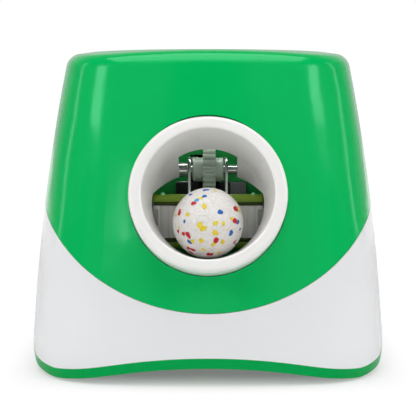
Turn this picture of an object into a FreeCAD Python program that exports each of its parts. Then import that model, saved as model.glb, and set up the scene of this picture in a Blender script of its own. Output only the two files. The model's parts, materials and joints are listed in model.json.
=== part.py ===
"""Automatic ball launcher: hopper on top, spring-driven striker inside, tilted launch tube in front.

Millimetres, +Z up, the tube faces -Y. The model is laid out about the housing's own centre line and
moved along Y at the end, so that the finished object's box is centred on the origin.
"""
import FreeCAD, Part
import math
import os
from FreeCAD import Placement, Rotation, Vector

# ---- housing ----
HEIGHT = 239.0            # crown of the domed top, where the hopper interrupts it
BASE_HALF = 136.0         # half width of the rounded-square plan near the floor
WAIST_HALF = BASE_HALF - 8.0        # half width at the middle
TOP_HALF = BASE_HALF - 25.4       # half width near the top
BASE_Z, WAIST_Z, TOP_Z = 16.0, 105.0, HEIGHT - 24.0
TUCK = 1.4                # how far the wall draws in again below BASE_Z
LOFT_STEPS = (0.0, 0.07, 0.17, 0.30, 0.45, 0.62, 0.80, 1.0)   # closer where the wall turns in
SIDE_BOW = 2.6            # radius of a bowed side over its half width
CORNER_REACH = 1.139      # diagonal half width over half width
DOME_R = 700.0
TOP_ROUND = 12.0
WALL = 2.5
SEAM_GAP = 0.3
SPLIT_R = 140.0           # colour split between the shells: one arc, seen from the front
SPLIT_LOW = 51.0          # its lowest point
LAP = 4.0                 # overlap of the tongue behind the split
LAP_T = 1.8

# ---- base pan ----
ARCH_RISE = 13.0          # crown of the arched lower edge on each side
ARCH_R = 354.0
PAN_EDGE = 7.2            # height of the pan's visible edge strip
PAN_FLOOR = 2.6
PAN_WALL = 3.0
PAN_RIB_T = 2.0
FOOT_AT, FOOT_R, FOOT_T, FOOT_PROUD = BASE_HALF - 39.0, 6.0, 2.6, 0.8
SCREW_AT, SCREW_R, SCREW_HEAD_R, SCREW_LEN = BASE_HALF - 15.0, 1.5, 3.0, 14.0
BOSS_R, BOSS_TOP, PAN_BOSS_TOP = 4.5, 32.0, 18.0

# ---- launch tube ----
TILT = 16.5               # degrees that the tube points above the horizon
RING_Y, RING_Z = 4.0 - BASE_HALF, 134.3
RING_R = 54.6
MOUTH_R = 46.0
CONE_DROP = 0.158         # inner radius lost per millimetre of depth
TUBE_T = 2.4
SKIRT_DEPTH = 26.0
REAR_DEPTH = 38.0         # lower half ends here
TAB_DEPTH = 65.0          # the two upper tabs end here
TAB_R = 33.0              # inner radius at the tabs' ends, where the cone has drawn in
SLOT_W = 42.5
TAB_FROM = 7.0            # height above the axis where the tabs begin
LIP_ROUND, MOUTH_ROUND = 3.0, 1.6
RING_GAP = 0.6            # shadow gap round the ring
COLLAR_T = 2.4
LEDGE_R = 51.0

# ---- ball ----
BALL_R = 25.0
CLEAR = 0.3               # running gap round moving bodies
BALL_DEPTH = 28.5         # depth of the ball's centre along the tube

# ---- striker ----
PIVOT_Y, PIVOT_Z = RING_Y + 78.0, 145.0
SHAFT_R, SHAFT_HALF = 3.5, 49.6
SHAFT_FIT = 0.05
CLIP_R, CLIP_T = 5.4, 1.0
HUB_R, HUB_HALF = 9.0, 11.5
SLEEVE_R, SLEEVE_END = 5.5, 25.0   # sleeve on the shaft beside the left wire, next to the spring
GEAR_X, GEAR_W = 0.9, 9.4
MODULE = 1.5
STRIKER_TEETH, DRIVE_TEETH = 19, 24
WHEEL_MODULE, WHEEL_TEETH, PINION_TEETH = 0.8, 20, 10
BACKLASH = 0.25
WIRE_R, WIRE_X = 1.1, 13.6
WIRE_TOP = 8.6            # wire centre above the shaft's axis where it passes over
PADDLE_HALF = 40.0
PADDLE_T = 4.0            # over the crests of the flutes
FLUTE_R, FLUTE_COUNT = 5.6, 15
PAD_R, PAD_PROUD, PAD_RELIEF = 3.75, 0.5, 0.1
PADDLE_LOW, PADDLE_HIGH = 92.7, 125.2
SPRING_WIRE_R, SPRING_TURNS = 0.9, 9
BUMPER_T, BUMPER_LOW, BUMPER_HIGH = 4.6, 107.0, 118.0

# ---- mechanism frame ----
BRACKET_X, BRACKET_T = 44.5, 2.5
BRACKET_FRONT, BRACKET_BACK, BRACKET_TOP = RING_Y + 40.0, RING_Y + 104.0, 158.0
BRACKET_TOE = RING_Y + 30.0
BULKHEAD_T, BULKHEAD_LOW, BULKHEAD_TOP = 2.0, 121.2, 173.0
BRACKET_FOOT = 10.0
FLOOR_T = 2.4
FLOOR_REACH = 63.7        # radius of the chamber floor's rear curve about the pivot
FLOOR_CURL = 55.0

# ---- gearbox ----
BOX_LEFT, BOX_RIGHT, BOX_T = -24.3, 28.8, 2.2
BOX_FRONT, BOX_BACK, BOX_LOW, BOX_HIGH = RING_Y + 93.0, RING_Y + 142.0, 122.0, 154.0
BOX_LIP = 134.0           # top of the part that stands in front of the bulkhead
BOX_SPLIT = 17.0
BOX_SLOT, BOX_SLOT_END = -7.0, 9.0
DRIVE_SHAFT_R = 2.5
DRIVE_HUB_R = 6.0
WHEEL_X, WHEEL_W = -12.5, 5.0
MOTOR_R, MOTOR_LEN, MOTOR_ANGLE = 12.0, 30.0, -30.0
MOTOR_SHAFT_R = 1.0

# ---- feed ----
BOWL_R, BOWL_RIM_R = 84.0, 92.6
BOWL_TOP, BOWL_LOW = HEIGHT - 10.4, HEIGHT - 42.0
BOWL_T = 2.4
HOLE_R = 93.0
FEED_R, FEED_T = 27.5, 2.4
DRAIN_X, DRAIN_Y, DRAIN_Z = 52.0, 12.0, HEIGHT - 50.0
FEED_BEND = 8.0           # straight drop below the bowl
TURN_X, TURN_Y, TURN_Z = 79.0, 0.0, 128.0
ENTRY_X, ENTRY_Y, ENTRY_Z = 80.0, RING_Y + 64.0, 112.0
GATE_Y, GATE_Z = RING_Y + 62.0, 109.7

# ---- battery bay ----
CELL_R, CELL_LEN, CELL_GAP = 12.9, 50.0, 0.8
BAY_T = 2.4
BAY_Y0 = 6.0              # hinge axis of the battery door
DOOR_GAP = 0.5
BARREL_R, HINGE_PIN_R = 2.2, 1.1
TRAY_H = 30.0

# ---- rear control panel ----
PANEL_HALF, PANEL_R, PANEL_Z = 37.0, 15.0, 112.0
PANEL_FLANGE = 2.5
PANEL_SAG = 2.5           # how far the bowed, leaning panel falls away behind a button
BUTTON_R, BUTTON_PROUD, BUTTON_TRAVEL = 7.6, 2.0, 1.4
BUTTON_XS = (-18.5, 1.0)
LENS_X, LENS_R = 14.5, 2.4
JACK_X, JACK_R, JACK_BORE_R, JACK_DEPTH = 24.0, 5.4, 2.8, 10.0
BOARD_T, BOARD_BACK = 1.6, 11.5

UP = Vector(0, 0, 1)
X_AXIS, Y_AXIS = Vector(1, 0, 0), Vector(0, 1, 0)


# ---------------------------------------------------------------- helpers
def box(x0, x1, y0, y1, z0, z1):
    return Part.makeBox(x1 - x0, y1 - y0, z1 - z0, Vector(x0, y0, z0))


def rod(radius, start, end):
    start, end = Vector(*start), Vector(*end)
    return Part.makeCylinder(radius, (end - start).Length, start, end - start)


def rod_x(radius, x0, x1, y, z):
    return rod(radius, (x0, y, z), (x1, y, z))


def rod_y(radius, y0, y1, x, z):
    return rod(radius, (x, y0, z), (x, y1, z))


def fuse(shapes):
    shapes = list(shapes)
    result = shapes[0]
    return result.fuse(shapes[1:]).removeSplitter() if len(shapes) > 1 else result


def polygon_yz(points, x0, x1):
    """Prism along X over a closed outline given as (y, z) pairs."""
    corners = [Vector(x0, y, z) for y, z in points]
    face = Part.Face(Part.makePolygon(corners + corners[:1]))
    return face.extrude(Vector(x1 - x0, 0, 0))


def mirror_x(shape):
    return shape.mirror(Vector(0, 0, 0), X_AXIS)


def both_sides(shape):
    return [shape, mirror_x(shape)]


def in_tube(shape):
    """Places a shape drawn about +Z, mouth at the origin, on the launch tube's axis."""
    shape = shape.copy()
    shape.Placement = Placement(Vector(0, RING_Y, RING_Z), Rotation(X_AXIS, 90.0 - TILT))
    return shape


def tube_point(depth, rise):
    """The (y, z) of a point this deep along the tube and this far above its axis."""
    c, s = math.cos(math.radians(TILT)), math.sin(math.radians(TILT))
    return RING_Y + depth * c + rise * s, RING_Z - depth * s + rise * c


def cone_r(depth):
    return MOUTH_R - CONE_DROP * depth


def rounded_path(points, radii):
    """Straight runs joined by tangent arcs, one radius for each inner point."""
    points = [Vector(*p) for p in points]
    edges, last = [], points[0]
    for before, at, after, radius in zip(points, points[1:], points[2:], radii):
        u, w = (before - at).normalize(), (after - at).normalize()
        half = u.getAngle(w) / 2
        cut = radius / math.tan(half)
        start, end = at + u * cut, at + w * cut
        middle = at + (u + w).normalize() * (radius / math.sin(half) - radius)
        edges.append(Part.makeLine(last, start))
        edges.append(Part.Arc(start, middle, end).toShape())
        last = end
    edges.append(Part.makeLine(last, points[-1]))
    return Part.Wire(edges)


def swept_rod(path, radius):
    start = path.OrderedEdges[0].Vertexes[0].Point
    tangent = path.OrderedEdges[0].tangentAt(path.OrderedEdges[0].FirstParameter)
    circle = Part.Wire(Part.makeCircle(radius, start, tangent))
    return path.makePipeShell([circle], True, False)


# ---------------------------------------------------------------- housing forms
def half_width(z):
    """Side profile: a shallow curve through base, waist and top, tucked in below the base."""
    if z < BASE_Z:
        return BASE_HALF - TUCK * ((BASE_Z - z) / BASE_Z) ** 2
    knots = [(BASE_Z, BASE_HALF), (WAIST_Z, WAIST_HALF), (TOP_Z, TOP_HALF)]
    total = 0.0
    for zi, wi in knots:
        term = wi
        for zj, _ in knots:
            if zj != zi:
                term *= (z - zj) / (zi - zj)
        total += term
    return total


def plan_wire(a, z):
    """Rounded square of half width a: four bowed sides joined by tangent corner arcs."""
    bow, reach = SIDE_BOW * a, CORNER_REACH * a
    centre = ((bow - reach) ** 2 - (bow - a) ** 2) / (2 * (bow - a) - 2 * math.sqrt(2) * (bow - reach))
    span = math.hypot(centre - (a - bow), centre)
    tx, ty = (a - bow) + (centre - (a - bow)) / span * bow, centre / span * bow
    k = reach / math.sqrt(2)
    edges = []
    for quarter in range(4):
        turn = Rotation(UP, 90.0 * quarter)

        def at(x, y):
            return turn.multVec(Vector(x, y, z))
        edges.append(Part.Arc(at(tx, -ty), at(a, 0), at(tx, ty)).toShape())
        edges.append(Part.Arc(at(tx, ty), at(k, k), at(ty, tx)).toShape())
    return Part.Wire(edges)


def housing_form(inset):
    """The housing's outer form, drawn in by inset on every side."""
    levels = [-2.0, BASE_Z * 0.25, BASE_Z * 0.63]
    levels += [BASE_Z + (TOP_Z - BASE_Z) * step for step in LOFT_STEPS] + [HEIGHT + 8.0]
    form = Part.makeLoft([plan_wire(half_width(z) - inset, z) for z in levels], True, False)
    form = form.common(Part.makeSphere(DOME_R, Vector(0, 0, HEIGHT - inset - DOME_R)))
    crown = [f for f in form.Faces if isinstance(f.Surface, Part.Sphere)][0]
    return form.makeFillet(TOP_ROUND - inset, crown.OuterWire.Edges)


def under_arch(lift):
    """Everything below the arched lower edge, raised by lift, and below the feet's level."""
    reach, z = BASE_HALF * 1.3, ARCH_RISE + lift - ARCH_R
    return fuse([rod((ARCH_R), (-reach, 0, z), (reach, 0, z)),
                 rod((ARCH_R), (0, -reach, z), (0, reach, z)),
                 box(-reach, reach, -reach, reach, z, lift)])


def split_cylinder(growth):
    reach = BASE_HALF * 1.3
    return rod_y(SPLIT_R + growth, -reach, reach, 0, SPLIT_LOW + SPLIT_R)


def stadium(half, radius, y0, y1, z):
    """Round-ended slot shape along Y."""
    return fuse([box(-half + radius, half - radius, y0, y1, z - radius, z + radius),
                 rod_y(radius, y0, y1, -half + radius, z), rod_y(radius, y0, y1, half - radius, z)])


def make_upper_shell(outer, inner):
    shell = outer.cut(inner).common(split_cylinder(0))
    inside = housing_form(0.4)
    bore_r = RING_R + RING_GAP
    depth = SKIRT_DEPTH + COLLAR_T
    collar = Part.makeCylinder(bore_r + COLLAR_T, depth + 30, Vector(0, 0, -depth))
    shell = shell.fuse(in_tube(collar).common(inside))
    shell = shell.cut(in_tube(Part.makeCylinder(bore_r, SKIRT_DEPTH + 60, Vector(0, 0, -SKIRT_DEPTH))))
    shell = shell.cut(in_tube(Part.makeCylinder(LEDGE_R, depth + 60, Vector(0, 0, -depth - 1))))
    # round top opening with the ledge that carries the bowl
    sleeve_low = BOWL_TOP - BOWL_T - 2.4
    sleeve = rod(HOLE_R + 2.4, (0, 0, sleeve_low), (0, 0, HEIGHT + 5)).common(inside)
    shell = shell.fuse(sleeve)
    shell = shell.cut(rod(HOLE_R, (0, 0, BOWL_TOP - BOWL_T), (0, 0, HEIGHT + 9)))
    shell = shell.cut(rod(BOWL_R + 3.2, (0, 0, sleeve_low - 1), (0, 0, HEIGHT)))
    # rear opening for the control panel
    back = BASE_HALF * 1.2
    return shell.cut(stadium(PANEL_HALF + CLEAR, PANEL_R + CLEAR, BASE_HALF / 2, back, PANEL_Z))


def make_lower_shell(outer, inner):
    solid = outer.cut(inner).cut(under_arch(PAN_EDGE)).cut(split_cylinder(SEAM_GAP))
    tongue = inner.cut(housing_form(WALL + LAP_T)).common(split_cylinder(LAP)).cut(split_cylinder(-LAP))
    room = in_tube(Part.makeCylinder(RING_R + RING_GAP + COLLAR_T + 1, 1.5 * TAB_DEPTH, Vector(0, 0, -TAB_DEPTH)))
    solid = solid.fuse(tongue.cut(room))
    posts = []
    for turn in range(4):
        post = rod(BOSS_R, (SCREW_AT, 0, PAN_BOSS_TOP), (SCREW_AT, 0, BOSS_TOP))
        web = box(SCREW_AT, BASE_HALF, -1.2, 1.2, ARCH_RISE + PAN_EDGE, BOSS_TOP)
        post = post.fuse(web).cut(rod(SCREW_R, (SCREW_AT, 0, 0), (SCREW_AT, 0, BOSS_TOP - 3)))
        post.rotate(Vector(0, 0, 0), UP, 90 * turn)
        posts.append(post.common(housing_form(WALL / 2)))
    return fuse([solid] + posts)


def make_base_pan(outer):
    below = under_arch(PAN_EDGE)
    block = outer.common(below).cut(under_arch(0))
    pan = block.cut(housing_form(PAN_WALL).cut(under_arch(PAN_FLOOR)))
    rib = housing_form(WALL + CLEAR).cut(housing_form(WALL + CLEAR + PAN_RIB_T))
    rib = rib.common(under_arch(PAN_EDGE + 4)).cut(under_arch(PAN_FLOOR / 2))
    for turn in range(2):      # notches where the screw posts' webs pass
        notch = box(-BASE_HALF, BASE_HALF, -2, 2, ARCH_RISE + PAN_EDGE, HEIGHT)
        notch.rotate(Vector(0, 0, 0), UP, 90 * turn)
        rib = rib.cut(notch)
    pan = pan.fuse(rib)
    for turn in range(4):
        boss = rod(BOSS_R + 1.4, (SCREW_AT, 0, ARCH_RISE + 1), (SCREW_AT, 0, PAN_BOSS_TOP))
        recess = rod(SCREW_HEAD_R + CLEAR, (SCREW_AT, 0, 0), (SCREW_AT, 0, PAN_BOSS_TOP - 2.4))
        hole = rod(SCREW_R, (SCREW_AT, 0, 0), (SCREW_AT, 0, HEIGHT / 4))
        for shape in (boss, recess, hole):
            shape.rotate(Vector(0, 0, 0), UP, 90 * turn)
        pan = pan.fuse(boss.common(outer)).cut(recess).cut(hole)
        seat = rod(FOOT_R + CLEAR, (FOOT_AT, FOOT_AT, -1), (FOOT_AT, FOOT_AT, FOOT_T - FOOT_PROUD))
        cup = rod(FOOT_R + 1.8, (FOOT_AT, FOOT_AT, 0.2), (FOOT_AT, FOOT_AT, FOOT_T + 1.4))
        for shape in (seat, cup):
            shape.rotate(Vector(0, 0, 0), UP, 90 * turn)
        pan = pan.fuse(cup.common(outer).cut(under_arch(0))).cut(seat)
    x, y0, y1 = bay_half(), BAY_Y0, bay_end()
    pan = pan.cut(box(-x, x, y0 - BARREL_R - DOOR_GAP, y1, -5, ARCH_RISE + PAN_FLOOR + 1))
    z = hinge_z()
    for side in (-1, 1):       # lugs with the door's hinge pins
        lug = box(x, x + 3, y0 - 3.5, y0 + 3.5, ARCH_RISE, z + 2.6).cut(under_arch(PAN_FLOOR / 2))
        pin = rod_x(HINGE_PIN_R, x - 6, x + 1, y0, z)
        lug = lug.fuse(pin)
        pan = pan.fuse(lug if side > 0 else mirror_x(lug))
    return pan.removeSplitter()


def bay_half():
    """Half width of the battery bay: three cells side by side."""
    return 3 * CELL_R + 2 * CELL_GAP


def bay_end():
    """The far end of the battery bay: two cells end to end behind the hinge barrel."""
    return BAY_Y0 + 2 * CELL_LEN + 3 * CELL_GAP


def hinge_z():
    return ARCH_RISE + BARREL_R


def make_battery_door():
    x, y0, y1 = bay_half() - DOOR_GAP, BAY_Y0, bay_end() - DOOR_GAP
    door = box(-x, x, y0, y1, -5, HEIGHT / 4).common(under_arch(PAN_FLOOR)).cut(under_arch(0))
    ribs = [box(-x + 6, x - 6, y - 0.8, y + 0.8, ARCH_RISE - 3, ARCH_RISE + PAN_FLOOR)
            for y in (y0 + CELL_LEN * 0.5, y0 + CELL_LEN * 1.5)]
    door = fuse([door, rod_x(BARREL_R, -x, x, y0, hinge_z())]
                + [rib.cut(under_arch(0)) for rib in ribs])
    door = door.cut(rod_x(HINGE_PIN_R + SHAFT_FIT, -x - 1, x + 1, y0, hinge_z()))
    grip = rod(9.0, (0, y1, ARCH_RISE - 9.0), (0, y1 - 8, ARCH_RISE - 9.0))
    return door.cut(grip)


def make_battery_tray():
    x, y1, roof = bay_half(), bay_end(), ARCH_RISE + PAN_FLOOR + TRAY_H
    y0 = BAY_Y0 - BARREL_R - DOOR_GAP
    tray = box(-x - BAY_T, x + BAY_T, y0 - BAY_T, y1 + BAY_T, 0, roof)
    tray = tray.cut(box(-x, x, y0, y1, -1, roof - BAY_T)).cut(under_arch(PAN_FLOOR))
    tray = tray.cut(box(x - 0.1, x + 3 + CLEAR, y0 - 3, BAY_Y0 + 3.5 + CLEAR, 0, hinge_z() + 2.6 + CLEAR))
    return tray.cut(box(-x - 3 - CLEAR, -x + 0.1, y0 - 3, BAY_Y0 + 3.5 + CLEAR, 0,
                        hinge_z() + 2.6 + CLEAR))


def make_cells():
    pitch, cells = 2 * CELL_R + CELL_GAP, []
    z = ARCH_RISE + PAN_FLOOR + TRAY_H - BAY_T - CELL_R
    for column in (-1, 0, 1):
        for row in (0, 1):
            y = BAY_Y0 + CELL_GAP + row * (CELL_LEN + CELL_GAP)
            cell = rod_y(CELL_R, y, y + CELL_LEN - 1.5, column * pitch, z)
            nib = rod_y(3.0, y + CELL_LEN - 1.5, y + CELL_LEN, column * pitch, z)
            cells.append(cell.fuse(nib))
    return Part.makeCompound(cells)


def make_feet():
    feet = []
    for turn in range(4):
        foot = rod(FOOT_R, (FOOT_AT, FOOT_AT, -FOOT_PROUD), (FOOT_AT, FOOT_AT, FOOT_T - FOOT_PROUD))
        foot = foot.makeFillet(0.6, [foot.Edges[i] for i, e in enumerate(foot.Edges)
                                     if e.Closed and e.CenterOfMass.z < 0])
        foot.rotate(Vector(0, 0, 0), UP, 90 * turn)
        feet.append(foot)
    return Part.makeCompound(feet)


def make_screws():
    screws = []
    for turn in range(4):
        top = PAN_BOSS_TOP - 2.4
        screw = rod(SCREW_HEAD_R, (SCREW_AT, 0, top - 2.0), (SCREW_AT, 0, top))
        screw = screw.fuse(rod(SCREW_R, (SCREW_AT, 0, top - 1), (SCREW_AT, 0, top + SCREW_LEN - 2)))
        screw.rotate(Vector(0, 0, 0), UP, 90 * turn)
        screws.append(screw)
    return Part.makeCompound(screws)


# ---------------------------------------------------------------- launch tube and frame
def make_launch_tube():
    end, bend = TAB_DEPTH, REAR_DEPTH
    front_t = 3.2
    outline = [(MOUTH_R, 0), (RING_R, 0), (RING_R, -SKIRT_DEPTH), (RING_R - TUBE_T, -SKIRT_DEPTH),
               (RING_R - TUBE_T, -front_t), (cone_r(front_t) + TUBE_T, -front_t),
               (cone_r(bend) + TUBE_T, -bend), (TAB_R + TUBE_T, -end), (TAB_R, -end), (cone_r(bend), -bend)]
    points = [Vector(r, 0, s) for r, s in outline]
    tube = Part.Face(Part.makePolygon(points + points[:1])).revolve(Vector(0, 0, 0), UP, 360)
    front = [e for e in tube.Edges if e.Closed and abs(e.CenterOfMass.z) < 1e-6]
    tube = tube.makeFillet(LIP_ROUND - 0.2, [e for e in front if abs(e.Curve.Radius - RING_R) < 1e-6])
    front = [e for e in tube.Edges if e.Closed and abs(e.CenterOfMass.z) < 1e-6]
    tube = tube.makeFillet(MOUTH_ROUND, [e for e in front if abs(e.Curve.Radius - MOUTH_R) < 1e-6])
    # oblique rear end: square below, rising to the tabs above
    wide = RING_R + 5
    rear = [(-wide, -REAR_DEPTH), (TAB_FROM, -REAR_DEPTH), (math.sqrt(TAB_R ** 2 - SLOT_W ** 2 / 4), -TAB_DEPTH),
            (wide, -TAB_DEPTH), (wide, -2 * TAB_DEPTH), (-wide, -2 * TAB_DEPTH)]
    corners = [Vector(-wide, v, s) for v, s in rear]
    trim = Part.Face(Part.makePolygon(corners + corners[:1])).extrude(Vector(2 * wide, 0, 0))
    slot = box(-SLOT_W / 2, SLOT_W / 2, 0, wide, -2 * TAB_DEPTH, -REAR_DEPTH)
    return in_tube(tube.cut(trim).cut(slot))


def floor_top(y):
    """Height of the chamber floor's straight run, from the tube's rear edge to below the pivot."""
    y0, z0 = tube_point(REAR_DEPTH, -cone_r(REAR_DEPTH))
    y1, z1 = PIVOT_Y, PIVOT_Z - FLOOR_REACH
    return z0 + (z1 - z0) * (y - y0) / (y1 - y0)


def make_chamber_floor():
    y0, _ = tube_point(REAR_DEPTH, -cone_r(REAR_DEPTH))
    y0 += 0.4

    def curl(radius, angle):
        a = math.radians(angle)
        return Vector(-BRACKET_X, PIVOT_Y + radius * math.sin(a), PIVOT_Z - radius * math.cos(a))
    inner, outer = FLOOR_REACH, FLOOR_REACH + FLOOR_T
    front_top = Vector(-BRACKET_X, y0, floor_top(y0))
    front_low = front_top - Vector(0, 0, FLOOR_T)
    edges = [Part.makeLine(front_top, curl(inner, 0)),
             Part.Arc(curl(inner, 0), curl(inner, FLOOR_CURL / 2), curl(inner, FLOOR_CURL)).toShape(),
             Part.makeLine(curl(inner, FLOOR_CURL), curl(outer, FLOOR_CURL)),
             Part.Arc(curl(outer, FLOOR_CURL), curl(outer, FLOOR_CURL / 2), curl(outer, 0)).toShape(),
             Part.makeLine(curl(outer, 0), front_low), Part.makeLine(front_low, front_top)]
    floor = Part.Face(Part.Wire(edges)).extrude(Vector(2 * BRACKET_X, 0, 0))
    # stay behind the sides of the tube, which rise in front of the floor
    tube_body = in_tube(Part.makeCylinder(RING_R, 2 * TAB_DEPTH, Vector(0, 0, -REAR_DEPTH - CLEAR)))
    return floor.cut(tube_body)


def make_bracket(right):
    low = ARCH_RISE - 3
    flank = [(BRACKET_TOE, low), (BRACKET_BACK, low), (BRACKET_BACK, BRACKET_TOP - 6),
             (BRACKET_BACK - 6, BRACKET_TOP), (BRACKET_FRONT, BRACKET_TOP),
             (BRACKET_FRONT, GATE_Z - FEED_R - 2), (BRACKET_TOE, GATE_Z - FEED_R - 10)]
    x0, x1 = BRACKET_X, BRACKET_X + BRACKET_T
    plate = polygon_yz(flank, x0, x1)
    foot = box(x0, x1 + BRACKET_FOOT, BRACKET_TOE, BRACKET_BACK, low, ARCH_RISE + PAN_FLOOR + 2)
    plate = plate.fuse(foot)
    middle = (BRACKET_TOE + BRACKET_BACK) / 2
    for y in (middle - 18, middle + 18):     # buttress ribs on the outside
        rib = [(x1, low), (x1 + BRACKET_FOOT, low), (x1, GATE_Z - FEED_R - 6)]
        corners = [Vector(x, y - 1, z) for x, z in rib]
        plate = plate.fuse(Part.Face(Part.makePolygon(corners + corners[:1])).extrude(Vector(0, 2, 0)))
    window = stadium(22, 11, BRACKET_TOE, BRACKET_BACK, 0)
    window.rotate(Vector(0, 0, 0), UP, 90)
    window.translate(Vector(x0 + 37 + 1.2, middle, (low + GATE_Z - FEED_R) / 2 + 3))
    plate = plate.cut(window)
    plate = plate.cut(rod_x(SHAFT_R + SHAFT_FIT, x0 - 1, x1 + 1, PIVOT_Y, PIVOT_Z))
    plate = plate.cut(under_arch(PAN_FLOOR))
    if right:
        gate = rod_x(FEED_R, x0 - 1, x1 + 1, GATE_Y, GATE_Z)
        gate = gate.fuse(box(x0 - 1, x1 + 1, BRACKET_TOE - 1, GATE_Y, GATE_Z - FEED_R + 6, GATE_Z + FEED_R - 6))
        return plate.cut(gate)
    return mirror_x(plate)


def bulkhead_y():
    """Front face of the bulkhead, just behind the side brackets."""
    return BRACKET_BACK + CLEAR


def make_bulkhead():
    """Wall behind the striker, slotted for the drive gear and notched over the gearbox."""
    half, y0 = BRACKET_X + BRACKET_T, bulkhead_y()
    y1 = y0 + BULKHEAD_T
    wall = box(-half, half, y0, y1, BULKHEAD_LOW, BULKHEAD_TOP)
    corners = [e for e in wall.Edges if abs(e.CenterOfMass.z - BULKHEAD_TOP) < 1e-3
               and abs(abs(e.CenterOfMass.x) - half) < 1e-3]
    wall = wall.makeFillet(0.8, corners)
    wall = wall.cut(box(BOX_LEFT - CLEAR, BOX_RIGHT + CLEAR, y0 - 1, y1 + 1, BULKHEAD_LOW - 1, BOX_LIP + CLEAR))
    tip = MODULE * (DRIVE_TEETH / 2 + 1) + 1.0
    x0, x1 = GEAR_X - GEAR_W / 2 - 0.6, GEAR_X + GEAR_W / 2 + 0.6
    wall = wall.cut(box(x0, x1, y0 - 1, y1 + 1, BOX_LIP, PIVOT_Z + tip))
    low = WHEEL_MODULE * (WHEEL_TEETH / 2 + 1) + 1.0
    return wall.cut(box(WHEEL_X - 0.8, x0 + 1, y0 - 1, y1 + 1, BOX_LIP, PIVOT_Z + low))


def make_bumpers():
    """Rubber blocks on the brackets that the paddle's ends rest against."""
    y1 = paddle_front() - CLEAR
    pad = box(PADDLE_HALF - 4, BRACKET_X, y1 - BUMPER_T, y1, BUMPER_LOW, BUMPER_HIGH)
    return Part.makeCompound(both_sides(pad))


# ---------------------------------------------------------------- ball and striker
def ball_centre():
    """Centre (y, z) of the ball lying on the cone's floor."""
    slope = math.atan(CONE_DROP)
    return tube_point(BALL_DEPTH, -(cone_r(BALL_DEPTH) - (BALL_R + CLEAR) / math.cos(slope)))


def paddle_front():
    return ball_centre()[0] + BALL_R + CLEAR


def make_ball():
    y, z = ball_centre()
    return Part.makeSphere(BALL_R, Vector(0, y, z))


def make_striker_shaft():
    shaft = rod_x(SHAFT_R, -SHAFT_HALF, SHAFT_HALF, PIVOT_Y, PIVOT_Z)
    ends = [e for e in shaft.Edges if e.Closed and isinstance(e.Curve, Part.Circle)]
    return shaft.makeChamfer(0.5, ends)


def make_clips():
    x = BRACKET_X + BRACKET_T + CLEAR
    ring = rod_x(CLIP_R, x, x + CLIP_T, PIVOT_Y, PIVOT_Z).cut(
        rod_x(SHAFT_R, x - 1, x + CLIP_T + 1, PIVOT_Y, PIVOT_Z))
    ring = ring.cut(box(x - 1, x + CLIP_T + 1, PIVOT_Y - 1.5, PIVOT_Y + 1.5, PIVOT_Z, PIVOT_Z + CLIP_R + 1))
    return Part.makeCompound(both_sides(ring))


def make_sleeve():
    """Sleeve between the left wire and the spring's coil."""
    x0 = WIRE_X + WIRE_R + CLEAR
    sleeve = rod_x(SLEEVE_R, -SLEEVE_END, -x0, PIVOT_Y, PIVOT_Z)
    sleeve = sleeve.makeChamfer(0.5, [e for e in sleeve.Edges if e.Closed])
    return sleeve.cut(rod_x(SHAFT_R, -SLEEVE_END - 1, -x0 + 1, PIVOT_Y, PIVOT_Z))


def make_striker_hub():
    hub = rod_x(HUB_R, -HUB_HALF, HUB_HALF, PIVOT_Y, PIVOT_Z)
    ends = [e for e in hub.Edges if e.Closed and isinstance(e.Curve, Part.Circle)]
    hub = hub.makeFillet(1.0, ends)
    hub = hub.cut(rod_x(SHAFT_R, -HUB_HALF - 1, HUB_HALF + 1, PIVOT_Y, PIVOT_Z))
    return hub.cut(make_bail_wire())


def bail_path():
    """Centre line of the wire: hub, over the shaft, down behind the paddle, across and back."""
    back, over = PIVOT_Y + HUB_R - 1.6, PIVOT_Z + WIRE_TOP
    ahead, leg = PIVOT_Y - HUB_R, paddle_front() + PADDLE_T + WIRE_R
    low, knee = PADDLE_LOW + 5.5, PADDLE_HIGH - 6
    half = [(HUB_HALF - 3, back, PIVOT_Z - 1), (WIRE_X, back, PIVOT_Z - 1), (WIRE_X, back, over),
            (WIRE_X, ahead, over), (WIRE_X, leg, knee), (WIRE_X, leg, low)]
    radii = [1.6, 6.5, 7.5, 7.0, 5.0]
    other = [(-x, y, z) for x, y, z in reversed(half)]
    return rounded_path(half + other, radii + radii[::-1])


def make_bail_wire():
    return swept_rod(bail_path(), WIRE_R)


def make_pads():
    y = paddle_front() + PAD_R - PAD_PROUD
    notch = swept_rod(bail_path(), WIRE_R + PAD_RELIEF)
    pads = []
    for z in (PADDLE_LOW, PADDLE_HIGH):
        pad = rod_x(PAD_R, -PADDLE_HALF, PADDLE_HALF, y, z)
        pad = pad.makeFillet(1.2, [e for e in pad.Edges if e.Closed])
        pads.append(pad.cut(notch))
    return Part.makeCompound(pads)


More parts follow.
